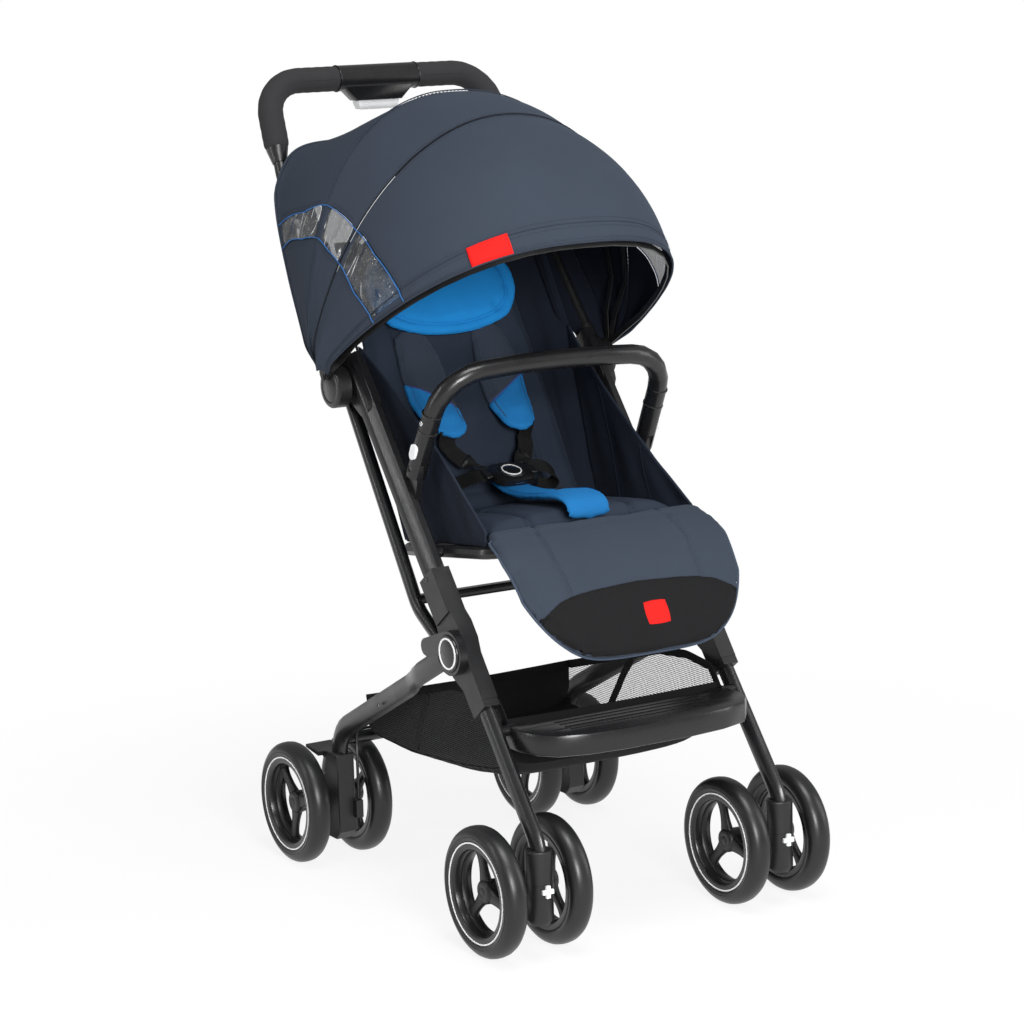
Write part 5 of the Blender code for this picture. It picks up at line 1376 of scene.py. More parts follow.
def curve_through(places, steps=8):
    """A smooth line through given places."""
    result = []
    ends = [places[0] * 2 - places[1], *places, places[-1] * 2 - places[-2]]
    for a, b, c, d in zip(ends, ends[1:], ends[2:], ends[3:]):
        for k in range(steps):
            t = k / steps
            result.append(0.5 * (2 * b + (c - a) * t + (2 * a - 5 * b + 4 * c - d) * t * t
                                 + (3 * b - a - 3 * c + d) * t ** 3))
    result.append(places[-1].copy())
    return result


BUCKLE_CENTRE = at(0, 0.280, 0.5195)
BUCKLE_TURN = Matrix.Rotation(radians(20), 3, "X")


def on_buckle(x, y, z):
    return BUCKLE_CENTRE + BUCKLE_TURN @ Vector((x, y, z))


def make_harness():
    low = back_point(0.060, 0.134, 0.041)
    for name, side in SIDES:
        places = [
            Vector((side * 0.060, low.y, low.z)),
            at(side * 0.0585, 0.338, 0.557),
            at(side * 0.0540, 0.330, 0.546),
            at(side * 0.0470, 0.3205, 0.5375),
            at(side * 0.0385, 0.3120, 0.5325),
            at(side * 0.0300, 0.3000, 0.5290),
        ]
        line = curve_through(places, 7)
        turn_from, turn_to = Vector((1, 0.1, 0.1)), Vector((0.75, 0.60, 0.25))

        def wide(share):
            across = turn_from.lerp(turn_to, smooth(share * 1.1))
            return Vector((side * across.x, across.y, across.z))

        strap = ribbon(f"harness_strap_{name}", line, wide, 0.0112, 0.0020, WEBBING, "webbing_black")
        if name == "left":
            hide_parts("harness_webbing")
        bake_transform(strap)
        loop = [on_buckle(side * 0.033, 0.010, 0.001), on_buckle(side * 0.046, 0.006, 0.004),
                on_buckle(side * 0.058, 0.000, 0.000), on_buckle(side * 0.066, -0.006, -0.010),
                on_buckle(side * 0.060, -0.004, -0.021), on_buckle(side * 0.046, 0.004, -0.019)]
        if side < 0:
            loop = [on_buckle(side * 0.033, 0.006, 0.0), on_buckle(side * 0.044, 0.012, -0.004),
                    on_buckle(side * 0.056, 0.020, -0.014), on_buckle(side * 0.072, 0.026, -0.026)]
        lap = ribbon(f"lap_strap_{name}", curve_through(loop, 6),
                     lambda share: BUCKLE_TURN @ Vector((0.1, 1, 0.35)),
                     0.0105, 0.0020, WEBBING, "webbing_black")
        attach(lap, "main_frame")
        slider = ribbon(f"strap_slider_{name}", [line[22] + Vector((0, -0.0004, 0.0004)), line[26]], wide,
                        0.0135, 0.0058, BLACK_MOULDING, "plastic_black")
        subdivided(slider)
        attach(slider, "main_frame")
    for k in range(2):
        band = [back_point(0.060 * (1 if k else -1), mix(0.270, 0.300, j / 6), mix(0.0150, 0.0085, j / 6))
                for j in range(7)]
        strap = ribbon(f"upper_strap_{'left' if k else 'right'}", band, lambda share: Vector((1, 0, 0)),
                       0.0112, 0.0018, WEBBING, "webbing_black")
        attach(strap, "back")


def make_buckle():
    """A rounded shell in two halves with a tongue at each side, and the round button on top."""
    points, faces, around, levels = [], [], 48, 9
    for j in range(levels + 1):
        rise = pi * j / levels - pi / 2
        for k in range(around):
            turn = 2 * pi * k / around
            c, s = cos(turn), sin(turn)
            size = (abs(c / 0.0305) ** 3.2 + abs(s / 0.0255) ** 3.2) ** (-1 / 3.2)
            shrink = max(cos(rise), 0.0) ** 0.42
            waist = 1 - 0.05 * (abs(rise) < 0.2)
            height = 0.0064 * (abs(sin(rise)) ** 0.9) * (1 if rise > 0 else -1)
            points.append(on_buckle(c * size * shrink * waist, s * size * shrink * waist, height))
    faces += tube_faces(levels, around)
    shell = outward(new_piece("buckle_shell", points, faces, SATIN_MOULDING, "plastic_black"))
    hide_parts("buckle")
    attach(shell, "main_frame")
    axis = BUCKLE_TURN @ Vector((0, 0, 1))
    button = turned("buckle_button_disc", [(0, 0.0072), (0.0085, 0.0070), (0.0120, 0.0066),
                                           (0.0144, 0.0058), (0.0150, 0.0046)],
                    BUCKLE_CENTRE, axis, SATIN_MOULDING, "plastic_black", 48)
    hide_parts("buckle_button")
    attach(button, "buckle_release")
    ring = turned("buckle_ring", [(0.0118, 0.0062), (0.0119, 0.0072), (0.0133, 0.0070), (0.0134, 0.0056)],
                  BUCKLE_CENTRE, axis, WHITE_RING, "plastic_black", 64)
    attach(ring, "buckle_release")
    surround = turned("buckle_surround", [(0.0150, 0.0050), (0.0152, 0.0072), (0.0166, 0.0074),
                                          (0.0176, 0.0060)],
                      BUCKLE_CENTRE, axis, BLACK_MOULDING, "plastic_black", 48)
    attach(surround, "main_frame")
    arc = [on_buckle(0.0285 * sin(a), -0.0238 * cos(a) ** 0.35, -0.0006)
           for a in (radians(x) for x in range(-34, 35, 4))]
    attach(cord("buckle_trim", arc, 0.0005, SILVER, "plastic_black", 6), "main_frame")
    for name, side in SIDES:
        tongue = [on_buckle(side * x, 0.006, 0.0010) for x in (0.026, 0.031, 0.036, 0.0385)]
        piece = ribbon(f"buckle_tongue_{name}", tongue, lambda share: BUCKLE_TURN @ Vector((0, 1, 0)),
                       lambda share: mix(0.0105, 0.0130, share), 0.0046, BLACK_MOULDING, "plastic_black")
        subdivided(piece)
        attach(piece, "main_frame")


CROTCH_PATH = [(0.0980, 0.4885), (0.0982, 0.4960), (0.1010, 0.5060), (0.1090, 0.5135), (0.1250, 0.5160),
               (0.1500, 0.5135), (0.1800, 0.5085), (0.2100, 0.5040), (0.2400, 0.5020), (0.2620, 0.5030),
               (0.2800, 0.5077), (0.3000, 0.5150)]


def make_crotch_pad():
    """The blue pad on the crotch strap: it dips under the buckle and folds over at the front."""
    path = resampled(curve_through([at(0, y, z) for y, z in CROTCH_PATH], 6), 0.004)

    def surface(u, v):
        a, b = squared(u, v, 9.0)
        place = (b + 1) / 2 * (len(path) - 1)
        step = min(int(place), len(path) - 2)
        spot = path[step].lerp(path[step + 1], place - step)
        width = mix(0.0325, 0.0240, smooth(((b + 1) / 2 - 0.30) / 0.35))
        return spot + Vector((a * width, 0, -0.0018 * a * a))

    piece = pad("crotch_pad_padded", surface, 0.0068, 12, 34, CROTCH_BLUE_SHADED, "blue_cloth", 0.5, 0.0016, 0.0030)
    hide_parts("crotch_pad")
    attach(piece, "main_frame")
    tree = surface_tree(piece)
    for name, side in SIDES:
        line = [surface(side * 0.80, mix(-0.68, 0.6, j / 30)) + Vector((0, 0, 0.02)) for j in range(31)]
        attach(stitched(f"crotch_stitches_{name}", laid(line, tree, (0, 0, 1)), BLUE_THREAD, "blue_cloth"),
                "main_frame")
    # A dark cloth strip across the pad: painted shadow where the strap arches over it.
    slot = [surface(mix(-0.30, 0.30, j / 6), -0.30 + 0.02 * j) for j in range(7)]
    line = laid([p + Vector((0, 0, 0.02)) for p in slot], tree, (0, 0, 1), 0.0002)
    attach(cord("crotch_painted_shadow_strip", line, [0.0006, 0.0016, 0.0022, 0.0024, 0.0022, 0.0016, 0.0006], BLACK_CLOTH,
                 "blue_cloth", 8), "main_frame")


CALF_PATH = [(0.086 + 0.0169 * cos(radians(a)), 0.466 + 0.0169 * sin(radians(a)))
             for a in (35, 68, 102, 116, 130)]
CALF_PATH += [(0.044, 0.4640), (0.018, 0.4380), (-0.006, 0.4020), (-0.024, 0.3700), (-0.034, 0.3420)]
CALF_ROLL = 2
CALF_HALF_WIDTHS = [(0.0, 0.150), (0.2, 0.156), (0.45, 0.163), (0.62, 0.158), (1.0, 0.156)]


def calf_surface(u, v, inset=1.0):
    down = (1 - v) / 2
    drop = down * (1 - 0.36 * abs(u) ** 4.2 * max(down, 0)) * inset
    place = drop * (len(CALF_PATH) - 1 - CALF_ROLL) + CALF_ROLL
    step = min(int(place), len(CALF_PATH) - 2)
    low, high = Vector(CALF_PATH[step]), Vector(CALF_PATH[step + 1])
    before = Vector(CALF_PATH[max(step - 1, 0)])
    after = Vector(CALF_PATH[min(step + 2, len(CALF_PATH) - 1)])
    t = place - step
    spot = 0.5 * (2 * low + (high - before) * t + (2 * before - 5 * low + 4 * high - after) * t * t
                  + (3 * low - before - 3 * high + after) * t ** 3)
    return at(u * stepped(CALF_HALF_WIDTHS, drop), spot.x, spot.y)


def make_calf_rest():
    surface_points = [(u / 20, v / 30, calf_surface(u / 20, v / 30)) for u in range(-20, 21)
                      for v in range(-30, 46)]

    def place_of(point):
        u, v, _ = min(surface_points, key=lambda row: (row[2] - point).length_squared)
        return u, v

    def border(u):
        """Height of the curved edge of the black lower panel."""
        return max(-0.30 - 0.16 * u * u - abs(u) ** 7, -0.985)

    piece = pad("calf_rest_padded", lambda u, v: calf_surface(u, mix(-1, 1.5, (v + 1) / 2), 0.985), 0.0135,
                24, 25, SLATE_CLOTH, "slate_cloth", 0.5, 0.0045)
    places = {vertex.index: place_of(vertex.co) for vertex in piece.data.vertices}
    moves = []
    for vertex in piece.data.vertices:
        u, v = places[vertex.index]
        seam = dip((v - border(u)) * 0.10, 0.0024, 0.0018)
        seam = seam + 0.0020 * dip((abs(u) - 0.60) * 0.157, 0.0040, 1) * (v > border(u))
        moves.append(vertex.normal * -seam)
    for vertex, move in zip(piece.data.vertices, moves):
        vertex.co += move
    piece.data.update()
    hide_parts("calf_rest")
    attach(piece, "calf")
    tree = surface_tree(piece)
    out = Vector((0, -0.80, 0.60))
    points, faces, columns, rows = [], [], 60, 22
    for j in range(rows + 1):
        for i in range(columns + 1):
            u = 0.915 * sin((2 * i / columns - 1) * pi / 2)
            points.append(calf_surface(u, mix(border(u), -1.0, j / rows), 0.985))
    faces += grid_faces(columns, rows)
    panel = new_piece("calf_lower_panel", laid([p + out * 0.01 for p in points], tree, out, 0.0007), faces,
                      BLACK_CLOTH, "slate_cloth")
    thickened(panel, 0.0009)
    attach(panel, "calf")
    for name, side in SIDES:
        for k, shift in enumerate((0.0, 0.022)):
            line = [calf_surface(side * (0.578 + shift), mix(0.85, border(0.6) + 0.03, j / 40)) + out * 0.01
                    for j in range(41)]
            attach(stitched(f"calf_stitches_{k}_{name}", laid(line, tree, out), SLATE_THREAD,
                             "slate_cloth"), "calf")
    line = [calf_surface(mix(-0.91, 0.91, j / 60), border(mix(-0.91, 0.91, j / 60))) + out * 0.01
            for j in range(61)]
    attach(cord("calf_border_seam", laid(line, tree, out, 0.0), 0.0007, BLACK_CLOTH, "slate_cloth", 6),
            "calf")
    edge = [calf_surface(0.990 * sin(mix(-1.45, 1.45, j / 70)), -1.0, 0.977) for j in range(71)]
    top = [calf_surface(-0.988, mix(0.92, -0.97, j / 50), 0.977) for j in range(51)]
    bottom = [calf_surface(0.988, mix(-0.97, 0.92, j / 50), 0.977) for j in range(51)]
    path = resampled(top + edge + bottom, 0.004)
    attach(cord("calf_piping", path, 0.0016, SLATE_PIPING, "slate_cloth", 8), "calf")
    make_calf_tag(tree, out)


def make_calf_tag(tree, out):
    """The small plain red tag near the lower edge."""
    points, faces, columns, rows = [], [], 8, 8
    for j in range(rows + 1):
        for i in range(columns + 1):
            a, b = squared(2 * i / columns - 1, 2 * j / rows - 1, 7.0)
            points.append(calf_surface(0.090 + 0.105 * a, -0.580 + 0.115 * b))
    laid_points = laid([p + out * 0.01 for p in points], tree, out, 0.0007)
    faces += grid_faces(columns, rows)
    tag = outward(new_piece("calf_tag", laid_points, faces, RED_LABEL, "slate_cloth"))
    thickened(tag, 0.0012)
    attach(tag, "calf")


def wing_surface(side, along, up):
    bottom = Vector((mix(0.097, 0.296, along), mix(0.4728, 0.4473, along)))
    top = Vector((mix(0.093, 0.385, along), mix(0.4880, 0.690, along)))
    place = bottom.lerp(top, up)
    bow = 0.33 if place.x < 0.23 else 0.60
    x = 0.1435 + bow * (place.x - 0.23) ** 2
    fold = 0.0024 * sin(along * 9 + 1.5 * up) * sin(up * pi)
    fold = fold + 0.0012 * sin(along * 23 - 3 * up) * sin(up * pi) ** 2
    pull = 0.0010 * noise.noise(Vector((side * 3, place.x * 22, place.y * 22)))
    return at(side * (x + fold + pull), place.x, place.y)


GUSSET_OUTER = [(0.0, 0.1465, 0.298, 0.4480), (0.5, 0.1600, 0.386, 0.690), (0.8, 0.1655, 0.446, 0.776),
                (1.0, 0.1665, 0.492, 0.834)]
GUSSET_INNER = [(0.0, 0.020), (1.0, 0.428)]


def make_gusset(name, side):
    """The pleated side cloth from the wing and the canopy to the edge of the backrest."""
    columns, rows = 10, 48
    points, faces = [], []
    for j in range(rows + 1):
        share = j / rows
        outer = at(side * stepped([(p[0], p[1]) for p in GUSSET_OUTER], share),
                   stepped([(p[0], p[2]) for p in GUSSET_OUTER], share),
                   stepped([(p[0], p[3]) for p in GUSSET_OUTER], share))
        up = stepped(GUSSET_INNER, share)
        inner = back_point(side * mix(0.131, 0.122, up / 0.43), up, -0.006)
        for i in range(columns + 1):
            across = i / columns
            wave = 0.0035 * sin(across * 2.5 * pi + 3 * share)
            pleat = wave * sin(across * pi) * sin(pi * clamp(share * 1.1))
            points.append(outer.lerp(inner, across) + Vector((side * pleat, -pleat * 0.8, 0)))
    faces += grid_faces(columns, rows)
    # Darkened navy cloth: painted shade inside the canopy.
    gusset = new_piece(f"side_gusset_{name}", points, faces, SHADED_WING_CLOTH, "navy_cloth")
    thickened(gusset, 0.0014)
    subdivided(gusset)
    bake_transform(gusset)


def make_rear_flap():
    """The canopy's inner back wall, which hangs inward from the rear hem, open over the backrest."""
    columns, rows = 60, 6
    points, faces = [], []
    low = foot_turn(HEM_ANGLE)
    for i in range(columns + 1):
        turn = mix(low, 180 - low, i / columns)
        outer, reach = canopy_bare(HEM_ANGLE, turn)
        inner_limit = mix(0.1700, 0.1500, smooth((reach - 0.02) / 0.03))
        inner_x = clamp(outer.x, -inner_limit, inner_limit)
        inner_reach = min(reach, 0.262 + 0.012 * cos(pi * inner_x / 0.34))
        direction = Vector((cos(radians(57)), sin(radians(57))))
        spot = Vector(PIVOT) + direction * inner_reach
        inner = at(inner_x, *spot)
        for j in range(rows + 1):
            share = j / rows
            sag = Vector((0, 0.004 * sin(pi * share), 0))
            points.append(outer.lerp(inner, share) + sag
                          + Vector((0, 0.0012 * sin(turn * 0.9) * sin(pi * share), 0)))
    faces += grid_faces(rows, columns)
    flap = new_piece("canopy_rear_flap", points, faces, LINING, "navy_cloth")
    thickened(flap, 0.0012)
    subdivided(flap)
    ride_canopy(flap, True)


def make_wing(name, side):
    columns, rows = 48, 30
    points, faces = [], []
    for j in range(rows + 1):
        for i in range(columns + 1):
            points.append(wing_surface(side, i / columns, j / rows))
    faces += grid_faces(columns, rows)
    # Darkened navy cloth: painted shade inside the canopy.
    wing = new_piece(f"seat_wing_{name}_cloth", points, faces, SHADED_WING_CLOTH, "navy_cloth")
    thickened(wing, 0.0030)
    subdivided(wing)
    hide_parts(f"seat_wing_{name}")
    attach(wing, "main_frame")
    trim = []
    edge = [wing_surface(side, 0.004, j / 12) for j in range(13)]
    edge += [wing_surface(side, mix(0.004, 0.985, j / 60), 0.992) for j in range(1, 61)]
    trim.append(cord(f"wing_piping_{name}", edge, 0.0015, NAVY_PIPING, "navy_cloth", 8))
    for k, up in enumerate((0.90, 0.955)):
        line = [wing_surface(side, mix(0.05, 0.96, j / 60), up) + Vector((-side * 0.0018, 0, 0))
                for j in range(61)]
        trim.append(stitched(f"wing_stitches_{k}_{name}", line, SHADED_WING_THREAD, "navy_cloth"))
    for k, along in enumerate((0.36, 0.70)):
        line = [wing_surface(side, along, mix(0.05, 0.92, j / 40)) + Vector((-side * 0.0018, 0, 0))
                for j in range(41)]
        trim.append(cord(f"wing_seam_{k}_{name}", line, 0.0007, SHADED_WING_THREAD, "navy_cloth", 6))
    for piece in trim:
        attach(piece, "main_frame")


# Basket

BASKET_LOW = [(0.050, 0.206), (0.075, 0.188), (0.110, 0.176), (0.180, 0.165), (0.317, 0.158), (0.398, 0.166)]
BASKET_HIGH = [(0.050, 0.262), (0.066, 0.284), (0.118, 0.290), (0.180, 0.284), (0.396, 0.224), (0.398, 0.224)]
BASKET_HALF = 0.1555


def basket_point(along, around):
    """along 0 to 1 front to back; around -1 at the left rim, 0 under the middle, 1 at the right rim."""
    y = mix(0.0505, 0.3975, along)
    low, high = stepped(BASKET_LOW, y), stepped(BASKET_HIGH, y)
    turn = around * pi / 2
    c, s = abs(cos(turn)), abs(sin(turn))
    flat = (c ** 6 + s ** 6) ** (-1 / 6)
    x, depth = BASKET_HALF * s * flat, c * flat
    sag = 0.005 * (1 - (x / BASKET_HALF) ** 2) * sin(pi * along) * (depth > 0.5)
    drawn = 0.006 * sin(pi * clamp(depth)) * sin(pi * along) * (s * flat > 0.9)
    ripple = 0.0014 * sin(along * 31 + around * 5) * (1 - abs(depth - 0.5)) * sin(pi * along)
    z = mix(high, low, clamp(depth)) - sag * 0.4 + 0.0016
    return at(-(x - drawn - abs(ripple)) * (1 if around > 0 else -1), y, z)


def make_basket():
    columns, rows = 56, 44
    points, faces = [], []
    for j in range(rows + 1):
        for i in range(columns + 1):
            points.append(basket_point(j / rows, 2 * i / columns - 1))
    faces += grid_faces(columns, rows)
    for end in (0, rows):
        ring = [end * (columns + 1) + i for i in range(columns + 1)]
        for i in range(columns // 2 - 1):
            faces.append((ring[i], ring[i + 1], ring[columns - i - 1], ring[columns - i]))
        faces.append((ring[columns // 2 - 1], ring[columns // 2], ring[columns // 2 + 1]))

    def choose(centre):
        y = centre.y - FRONT_AXLE_Y
        solid = centre.z < stepped(BASKET_LOW, y) + 0.014 or y < 0.058 or y > 0.394
        return 1 if solid else 0

    bag = new_piece("basket_bag", points, faces, [NET, BLACK_CLOTH], "mesh_black", choose)
    outward(bag)
    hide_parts("basket")
    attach(bag, "main_frame")
    trim = []
    for name, around in (("left", -1), ("right", 1)):
        line = [basket_point(j / 40, around) for j in range(41)]
        trim.append(ribbon(f"basket_binding_{name}", line, lambda share: Vector((0, 0, 1)), 0.0055, 0.0022,
                           BLACK_CLOTH, "mesh_black"))
        low = [basket_point(j / 40, around * 0.52) for j in range(41)]
        trim.append(cord(f"basket_seam_{name}", low, 0.0011, BLACK_CLOTH, "mesh_black", 6))
        tape = [basket_point(mix(0.55, 0.70, j / 10), around * mix(0.97, 0.55, j / 10)) for j in range(11)]
        trim.append(ribbon(f"basket_tape_{name}", tape, lambda share: Vector((0, 1, 0.4)), 0.0060, 0.0014,
                           WEBBING, "mesh_black"))
    for end, word in ((0.0, "front"), (1.0, "back")):
        left, right = basket_point(end, -1), basket_point(end, 1)
        line = [left.lerp(right, j / 20) + Vector((0, 0, -0.002 * sin(pi * j / 20))) for j in range(21)]
        trim.append(ribbon(f"basket_binding_{word}", line, lambda share: Vector((0, 0, 1)), 0.0055, 0.0022,
                           BLACK_CLOTH, "mesh_black"))
    for name, side in SIDES:
        strap = [at(side * 0.1565, 0.060, 0.250), at(side * 0.1600, 0.058, 0.258),
                 at(side * 0.1650, 0.057, 0.262)]
        trim.append(ribbon(f"basket_tab_{name}", strap, lambda share: Vector((0, 0.3, 1)), 0.0085, 0.0024,
                           WEBBING, "mesh_black"))
    for piece in trim:
        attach(piece, "main_frame")


# Small hardware

HUB = (0.112, 0.345)
BUMPER_BASE = (0.2335, 0.535)
BUMPER_LEAN = radians(117)


def screw(name, centre, axis, radius, body, finish=None):
    """A round-headed screw with a shallow round recess."""
    profile = [(0.0, 0.0004), (radius * 0.46, 0.0004), (radius * 0.50, 0.0014), (radius * 0.80, 0.0013),
               (radius, 0.0007), (radius * 1.02, -0.0006)]
    head = turned(name, profile, centre, axis, finish or DARK_STEEL, "frame_black", 24)
    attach(head, body)
    return head


def make_hardware():
    for name, side in SIDES:
        axis = (side, 0, 0)
        cap = turned(f"hinge_cap_{name}", [
            (0.0, 0.0016), (0.0150, 0.0014), (0.0158, 0.0011), (0.0206, 0.0011), (0.0214, 0.0013),
            (0.0226, 0.0008),
            (0.0230, -0.0006)], at(side * 0.1975, *HUB), axis, SATIN_MOULDING, "plastic_black", 64)
        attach(cap, "main_frame")
        ring = turned(f"hinge_ring_{name}", [(0.0172, 0.0009), (0.0174, 0.0019), (0.0194, 0.0019),
                                             (0.0196, 0.0009)],
                      at(side * 0.1975, *HUB), axis, WHITE_RING, "plastic_black", 96)
        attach(ring, "main_frame")
        screw(f"rear_leg_screw_{name}", at(side * 0.1955, 0.1865, 0.303), axis, 0.0042, "rear_frame")
        screw(f"rear_leg_rivet_{name}", at(side * 0.1905, 0.305, 0.2405), axis, 0.0026, "rear_frame")
        screw(f"mid_tube_screw_{name}", at(side * 0.1880, 0.1768, 0.4240), axis, 0.0030, "main_frame")
        arm = Vector((0, cos(BUMPER_LEAN), sin(BUMPER_LEAN)))
        foot = at(side * 0.1655, *BUMPER_BASE)
        screw(f"bumper_screw_{name}", foot + arm * 0.088 + Vector((side * 0.0124, 0, 0)), axis, 0.0032,
              "bumper", SILVER)
        for k, along in enumerate((0.076, 0.100)):
            collar = turned(f"bumper_collar_{k}_{name}", [
                (0.0120, -0.0016), (0.0129, -0.0014), (0.0132, -0.0008), (0.0132, 0.0008), (0.0129, 0.0014),
                (0.0120, 0.0016)],
                foot + arm * along, arm, SATIN_MOULDING, "plastic_black", 40)
            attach(collar, "bumper")
        disc = turned(f"elbow_cap_{name}", [
            (0.0, 0.0010), (0.0160, 0.0008), (0.0170, 0.0002), (0.0182, 0.0002), (0.0190, 0.0007),
            (0.0240, 0.0003),
            (0.0255, -0.0010)], at(side * 0.2078, 0.370, 0.641), axis, SATIN_MOULDING, "plastic_black", 56)
        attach(disc, "handle_frame")


HARD_FINISHES = [
    ("front_leg", FRAME_COAT), ("mid_tube", FRAME_COAT), ("rear_leg", FRAME_COAT),
    ("rear_cross_tube", FRAME_COAT), ("link_frame", FRAME_COAT), ("handle_tube", FRAME_COAT),
    ("seat_frame", FRAME_COAT), ("front_housing", BLACK_MOULDING), ("hub_housing", BLACK_MOULDING),
    ("footrest", SATIN_MOULDING), ("rear_housing", BLACK_MOULDING), ("brake_cable", BLACK_MOULDING),
    ("brake_pedal", BLACK_MOULDING), ("handle_hub", SATIN_MOULDING), ("handle_button", PALE_MOULDING),
    ("elbow_disc", BLACK_MOULDING), ("bumper_bar", SATIN_MOULDING), ("bumper_button", PALE_MOULDING),
    ("caster_yoke", BLACK_MOULDING), ("caster_lock", PALE_MOULDING), ("canopy_front_bow", BLACK_MOULDING),
    ("canopy_mid_bow", BLACK_MOULDING), ("canopy_rear_bow", BLACK_MOULDING),
]


def make_smooth_edges():
    """A modifier that welds a node's faces and shades it smooth between its sharp edges."""
    tree = bpy.data.node_groups.new("smooth_between_edges", "GeometryNodeTree")
    tree.interface.new_socket(name="Geometry", in_out="INPUT", socket_type="NodeSocketGeometry")
    tree.interface.new_socket(name="Geometry", in_out="OUTPUT", socket_type="NodeSocketGeometry")
    start, end = tree.nodes.new("NodeGroupInput"), tree.nodes.new("NodeGroupOutput")
    bare = tree.nodes.new("GeometryNodeRemoveAttribute")
    bare.inputs["Name"].default_value = "custom_normal"
    weld = tree.nodes.new("GeometryNodeMergeByDistance")
    weld.inputs["Distance"].default_value = 0.00002
    soft = tree.nodes.new("GeometryNodeSetShadeSmooth")
    soft.domain = "FACE"
    hard = tree.nodes.new("GeometryNodeSetShadeSmooth")
    hard.domain = "EDGE"
    hard.inputs["Shade Smooth"].default_value = False
    angle = tree.nodes.new("GeometryNodeInputMeshEdgeAngle")
    sharp = tree.nodes.new("FunctionNodeCompare")
    sharp.data_type = "FLOAT"
    sharp.operation = "GREATER_THAN"
    sharp.inputs["B"].default_value = radians(38)
    tree.links.new(start.outputs[0], bare.inputs["Geometry"])
    tree.links.new(bare.outputs["Geometry"], weld.inputs["Geometry"])
    tree.links.new(weld.outputs["Geometry"], soft.inputs["Geometry"])
    tree.links.new(soft.outputs["Geometry"], hard.inputs["Geometry"])
    tree.links.new(angle.outputs["Unsigned Angle"], sharp.inputs["A"])
    tree.links.new(sharp.outputs["Result"], hard.inputs["Selection"])
    tree.links.new(hard.outputs["Geometry"], end.inputs[0])
    return tree


def finish_hard_nodes():
    smoothing = make_smooth_edges()
    for node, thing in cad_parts.items():
        for start, finish in HARD_FINISHES:
            if node.startswith(start):
                thing.data.materials.clear()
                thing.data.materials.append(finish)
                step = thing.modifiers.new("Smooth", "NODES")
                step.node_group = smoothing
                break


# Floor, light and background

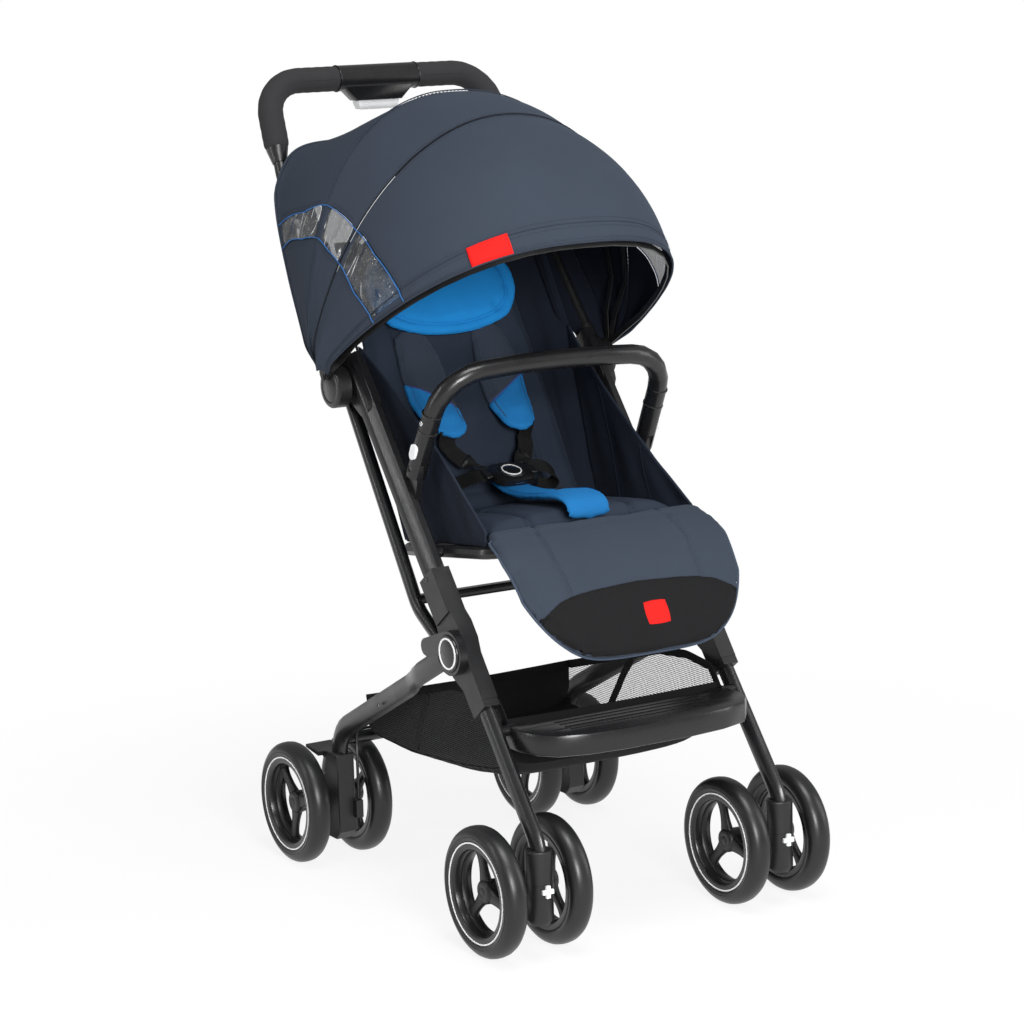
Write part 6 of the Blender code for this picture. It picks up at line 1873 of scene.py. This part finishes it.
def make_studio():
    floor_mesh = bpy.data.meshes.new("floor")
    floor_mesh.from_pydata([(-9, -9, 0), (9, -9, 0), (9, 9, 0), (-9, 9, 0)], [], [(0, 1, 2, 3)])
    floor_piece = bpy.data.objects.new("floor", floor_mesh)
    SCENE.collection.objects.link(floor_piece)
    material = bpy.data.materials.new("pale_floor")
    material.use_nodes = True
    tree = material.node_tree
    tree.nodes.clear()
    output = tree.nodes.new("ShaderNodeOutputMaterial")
    matt = tree.nodes.new("ShaderNodeBsdfDiffuse")
    matt.inputs["Color"].default_value = (0.90, 0.90, 0.90, 1)
    bright = tree.nodes.new("ShaderNodeEmission")
    bright.inputs["Color"].default_value = (1, 1, 1, 1)
    bright.inputs["Strength"].default_value = 1.0
    path = tree.nodes.new("ShaderNodeLightPath")
    coordinates = tree.nodes.new("ShaderNodeTexCoord").outputs["Object"]
    reach = tree.nodes.new("ShaderNodeVectorMath")
    reach.operation = "LENGTH"
    tree.links.new(coordinates, reach.inputs[0])
    fade = tree.nodes.new("ShaderNodeMapRange")
    fade.interpolation_type = "SMOOTHSTEP"
    for label, value in (("From Min", 0.45), ("From Max", 1.3), ("To Min", 0.86), ("To Max", 1.0)):
        fade.inputs[label].default_value = value
    tree.links.new(reach.outputs["Value"], fade.inputs["Value"])
    seen = maths(tree, "MAXIMUM", path.outputs["Is Camera Ray"],
                 maths(tree, "MAXIMUM", path.outputs["Is Glossy Ray"], path.outputs["Is Transmission Ray"]))
    blend = tree.nodes.new("ShaderNodeMixShader")
    tree.links.new(maths(tree, "MULTIPLY", fade.outputs["Result"], seen), blend.inputs["Fac"])
    tree.links.new(matt.outputs[0], blend.inputs[1])
    tree.links.new(bright.outputs[0], blend.inputs[2])
    tree.links.new(blend.outputs[0], output.inputs["Surface"])
    floor_mesh.materials.append(material)

    world = bpy.data.worlds.new("studio")
    SCENE.world = world
    world.use_nodes = True
    tree = world.node_tree
    tree.nodes.clear()
    output = tree.nodes.new("ShaderNodeOutputWorld")
    path = tree.nodes.new("ShaderNodeLightPath")
    ambient = tree.nodes.new("ShaderNodeBackground")
    ambient.inputs["Color"].default_value = (1, 1, 1, 1)
    ambient.inputs["Strength"].default_value = 0.33
    backdrop = tree.nodes.new("ShaderNodeBackground")
    backdrop.inputs["Color"].default_value = (1, 1, 1, 1)
    backdrop.inputs["Strength"].default_value = 1.0
    seen = maths(tree, "MAXIMUM", path.outputs["Is Camera Ray"], path.outputs["Is Transmission Ray"])
    seen = maths(tree, "MAXIMUM", seen, maths(tree, "MULTIPLY", path.outputs["Is Glossy Ray"], 0.06))
    blend = tree.nodes.new("ShaderNodeMixShader")
    tree.links.new(seen, blend.inputs["Fac"])
    tree.links.new(ambient.outputs[0], blend.inputs[1])
    tree.links.new(backdrop.outputs[0], blend.inputs[2])
    tree.links.new(blend.outputs[0], output.inputs["Surface"])

    for name, place, aim, size, power in (
        ("key_softbox", (-0.8, -2.9, 1.3), (0, 0, 0.60), (0.9, 0.9), 78),
        ("fill_softbox", (2.5, -1.6, 1.3), (0, 0, 0.5), (0.5, 1.9), 20),
        ("top_softbox", (-0.2, -1.1, 2.9), (0, 0, 0.4), (1.3, 1.3), 46),
        ("side_softbox", (-2.6, 0.6, 1.5), (0, 0.1, 0.5), (0.25, 1.9), 14),
    ):
        data = bpy.data.lights.new(name, "AREA")
        data.shape = "RECTANGLE"
        data.size, data.size_y = size
        data.energy = power
        lamp = bpy.data.objects.new(name, data)
        lamp.location = place
        lamp.rotation_euler = (Vector(aim) - Vector(place)).to_track_quat("-Z", "Y").to_euler()
        SCENE.collection.objects.link(lamp)
    SCENE.view_settings.view_transform = "Standard"


make_camera()
finish_hard_nodes()
make_wheels()
make_grips()
make_canopy()
make_seat_cushion()
make_backrest()
make_headrest()
make_rear_flap()
for word, sign in SIDES:
    make_shoulder_pad(word, sign)
    make_wing(word, sign)
    make_gusset(word, sign)
make_harness()
make_buckle()
make_crotch_pad()
make_calf_rest()
make_basket()
make_hardware()
make_studio()
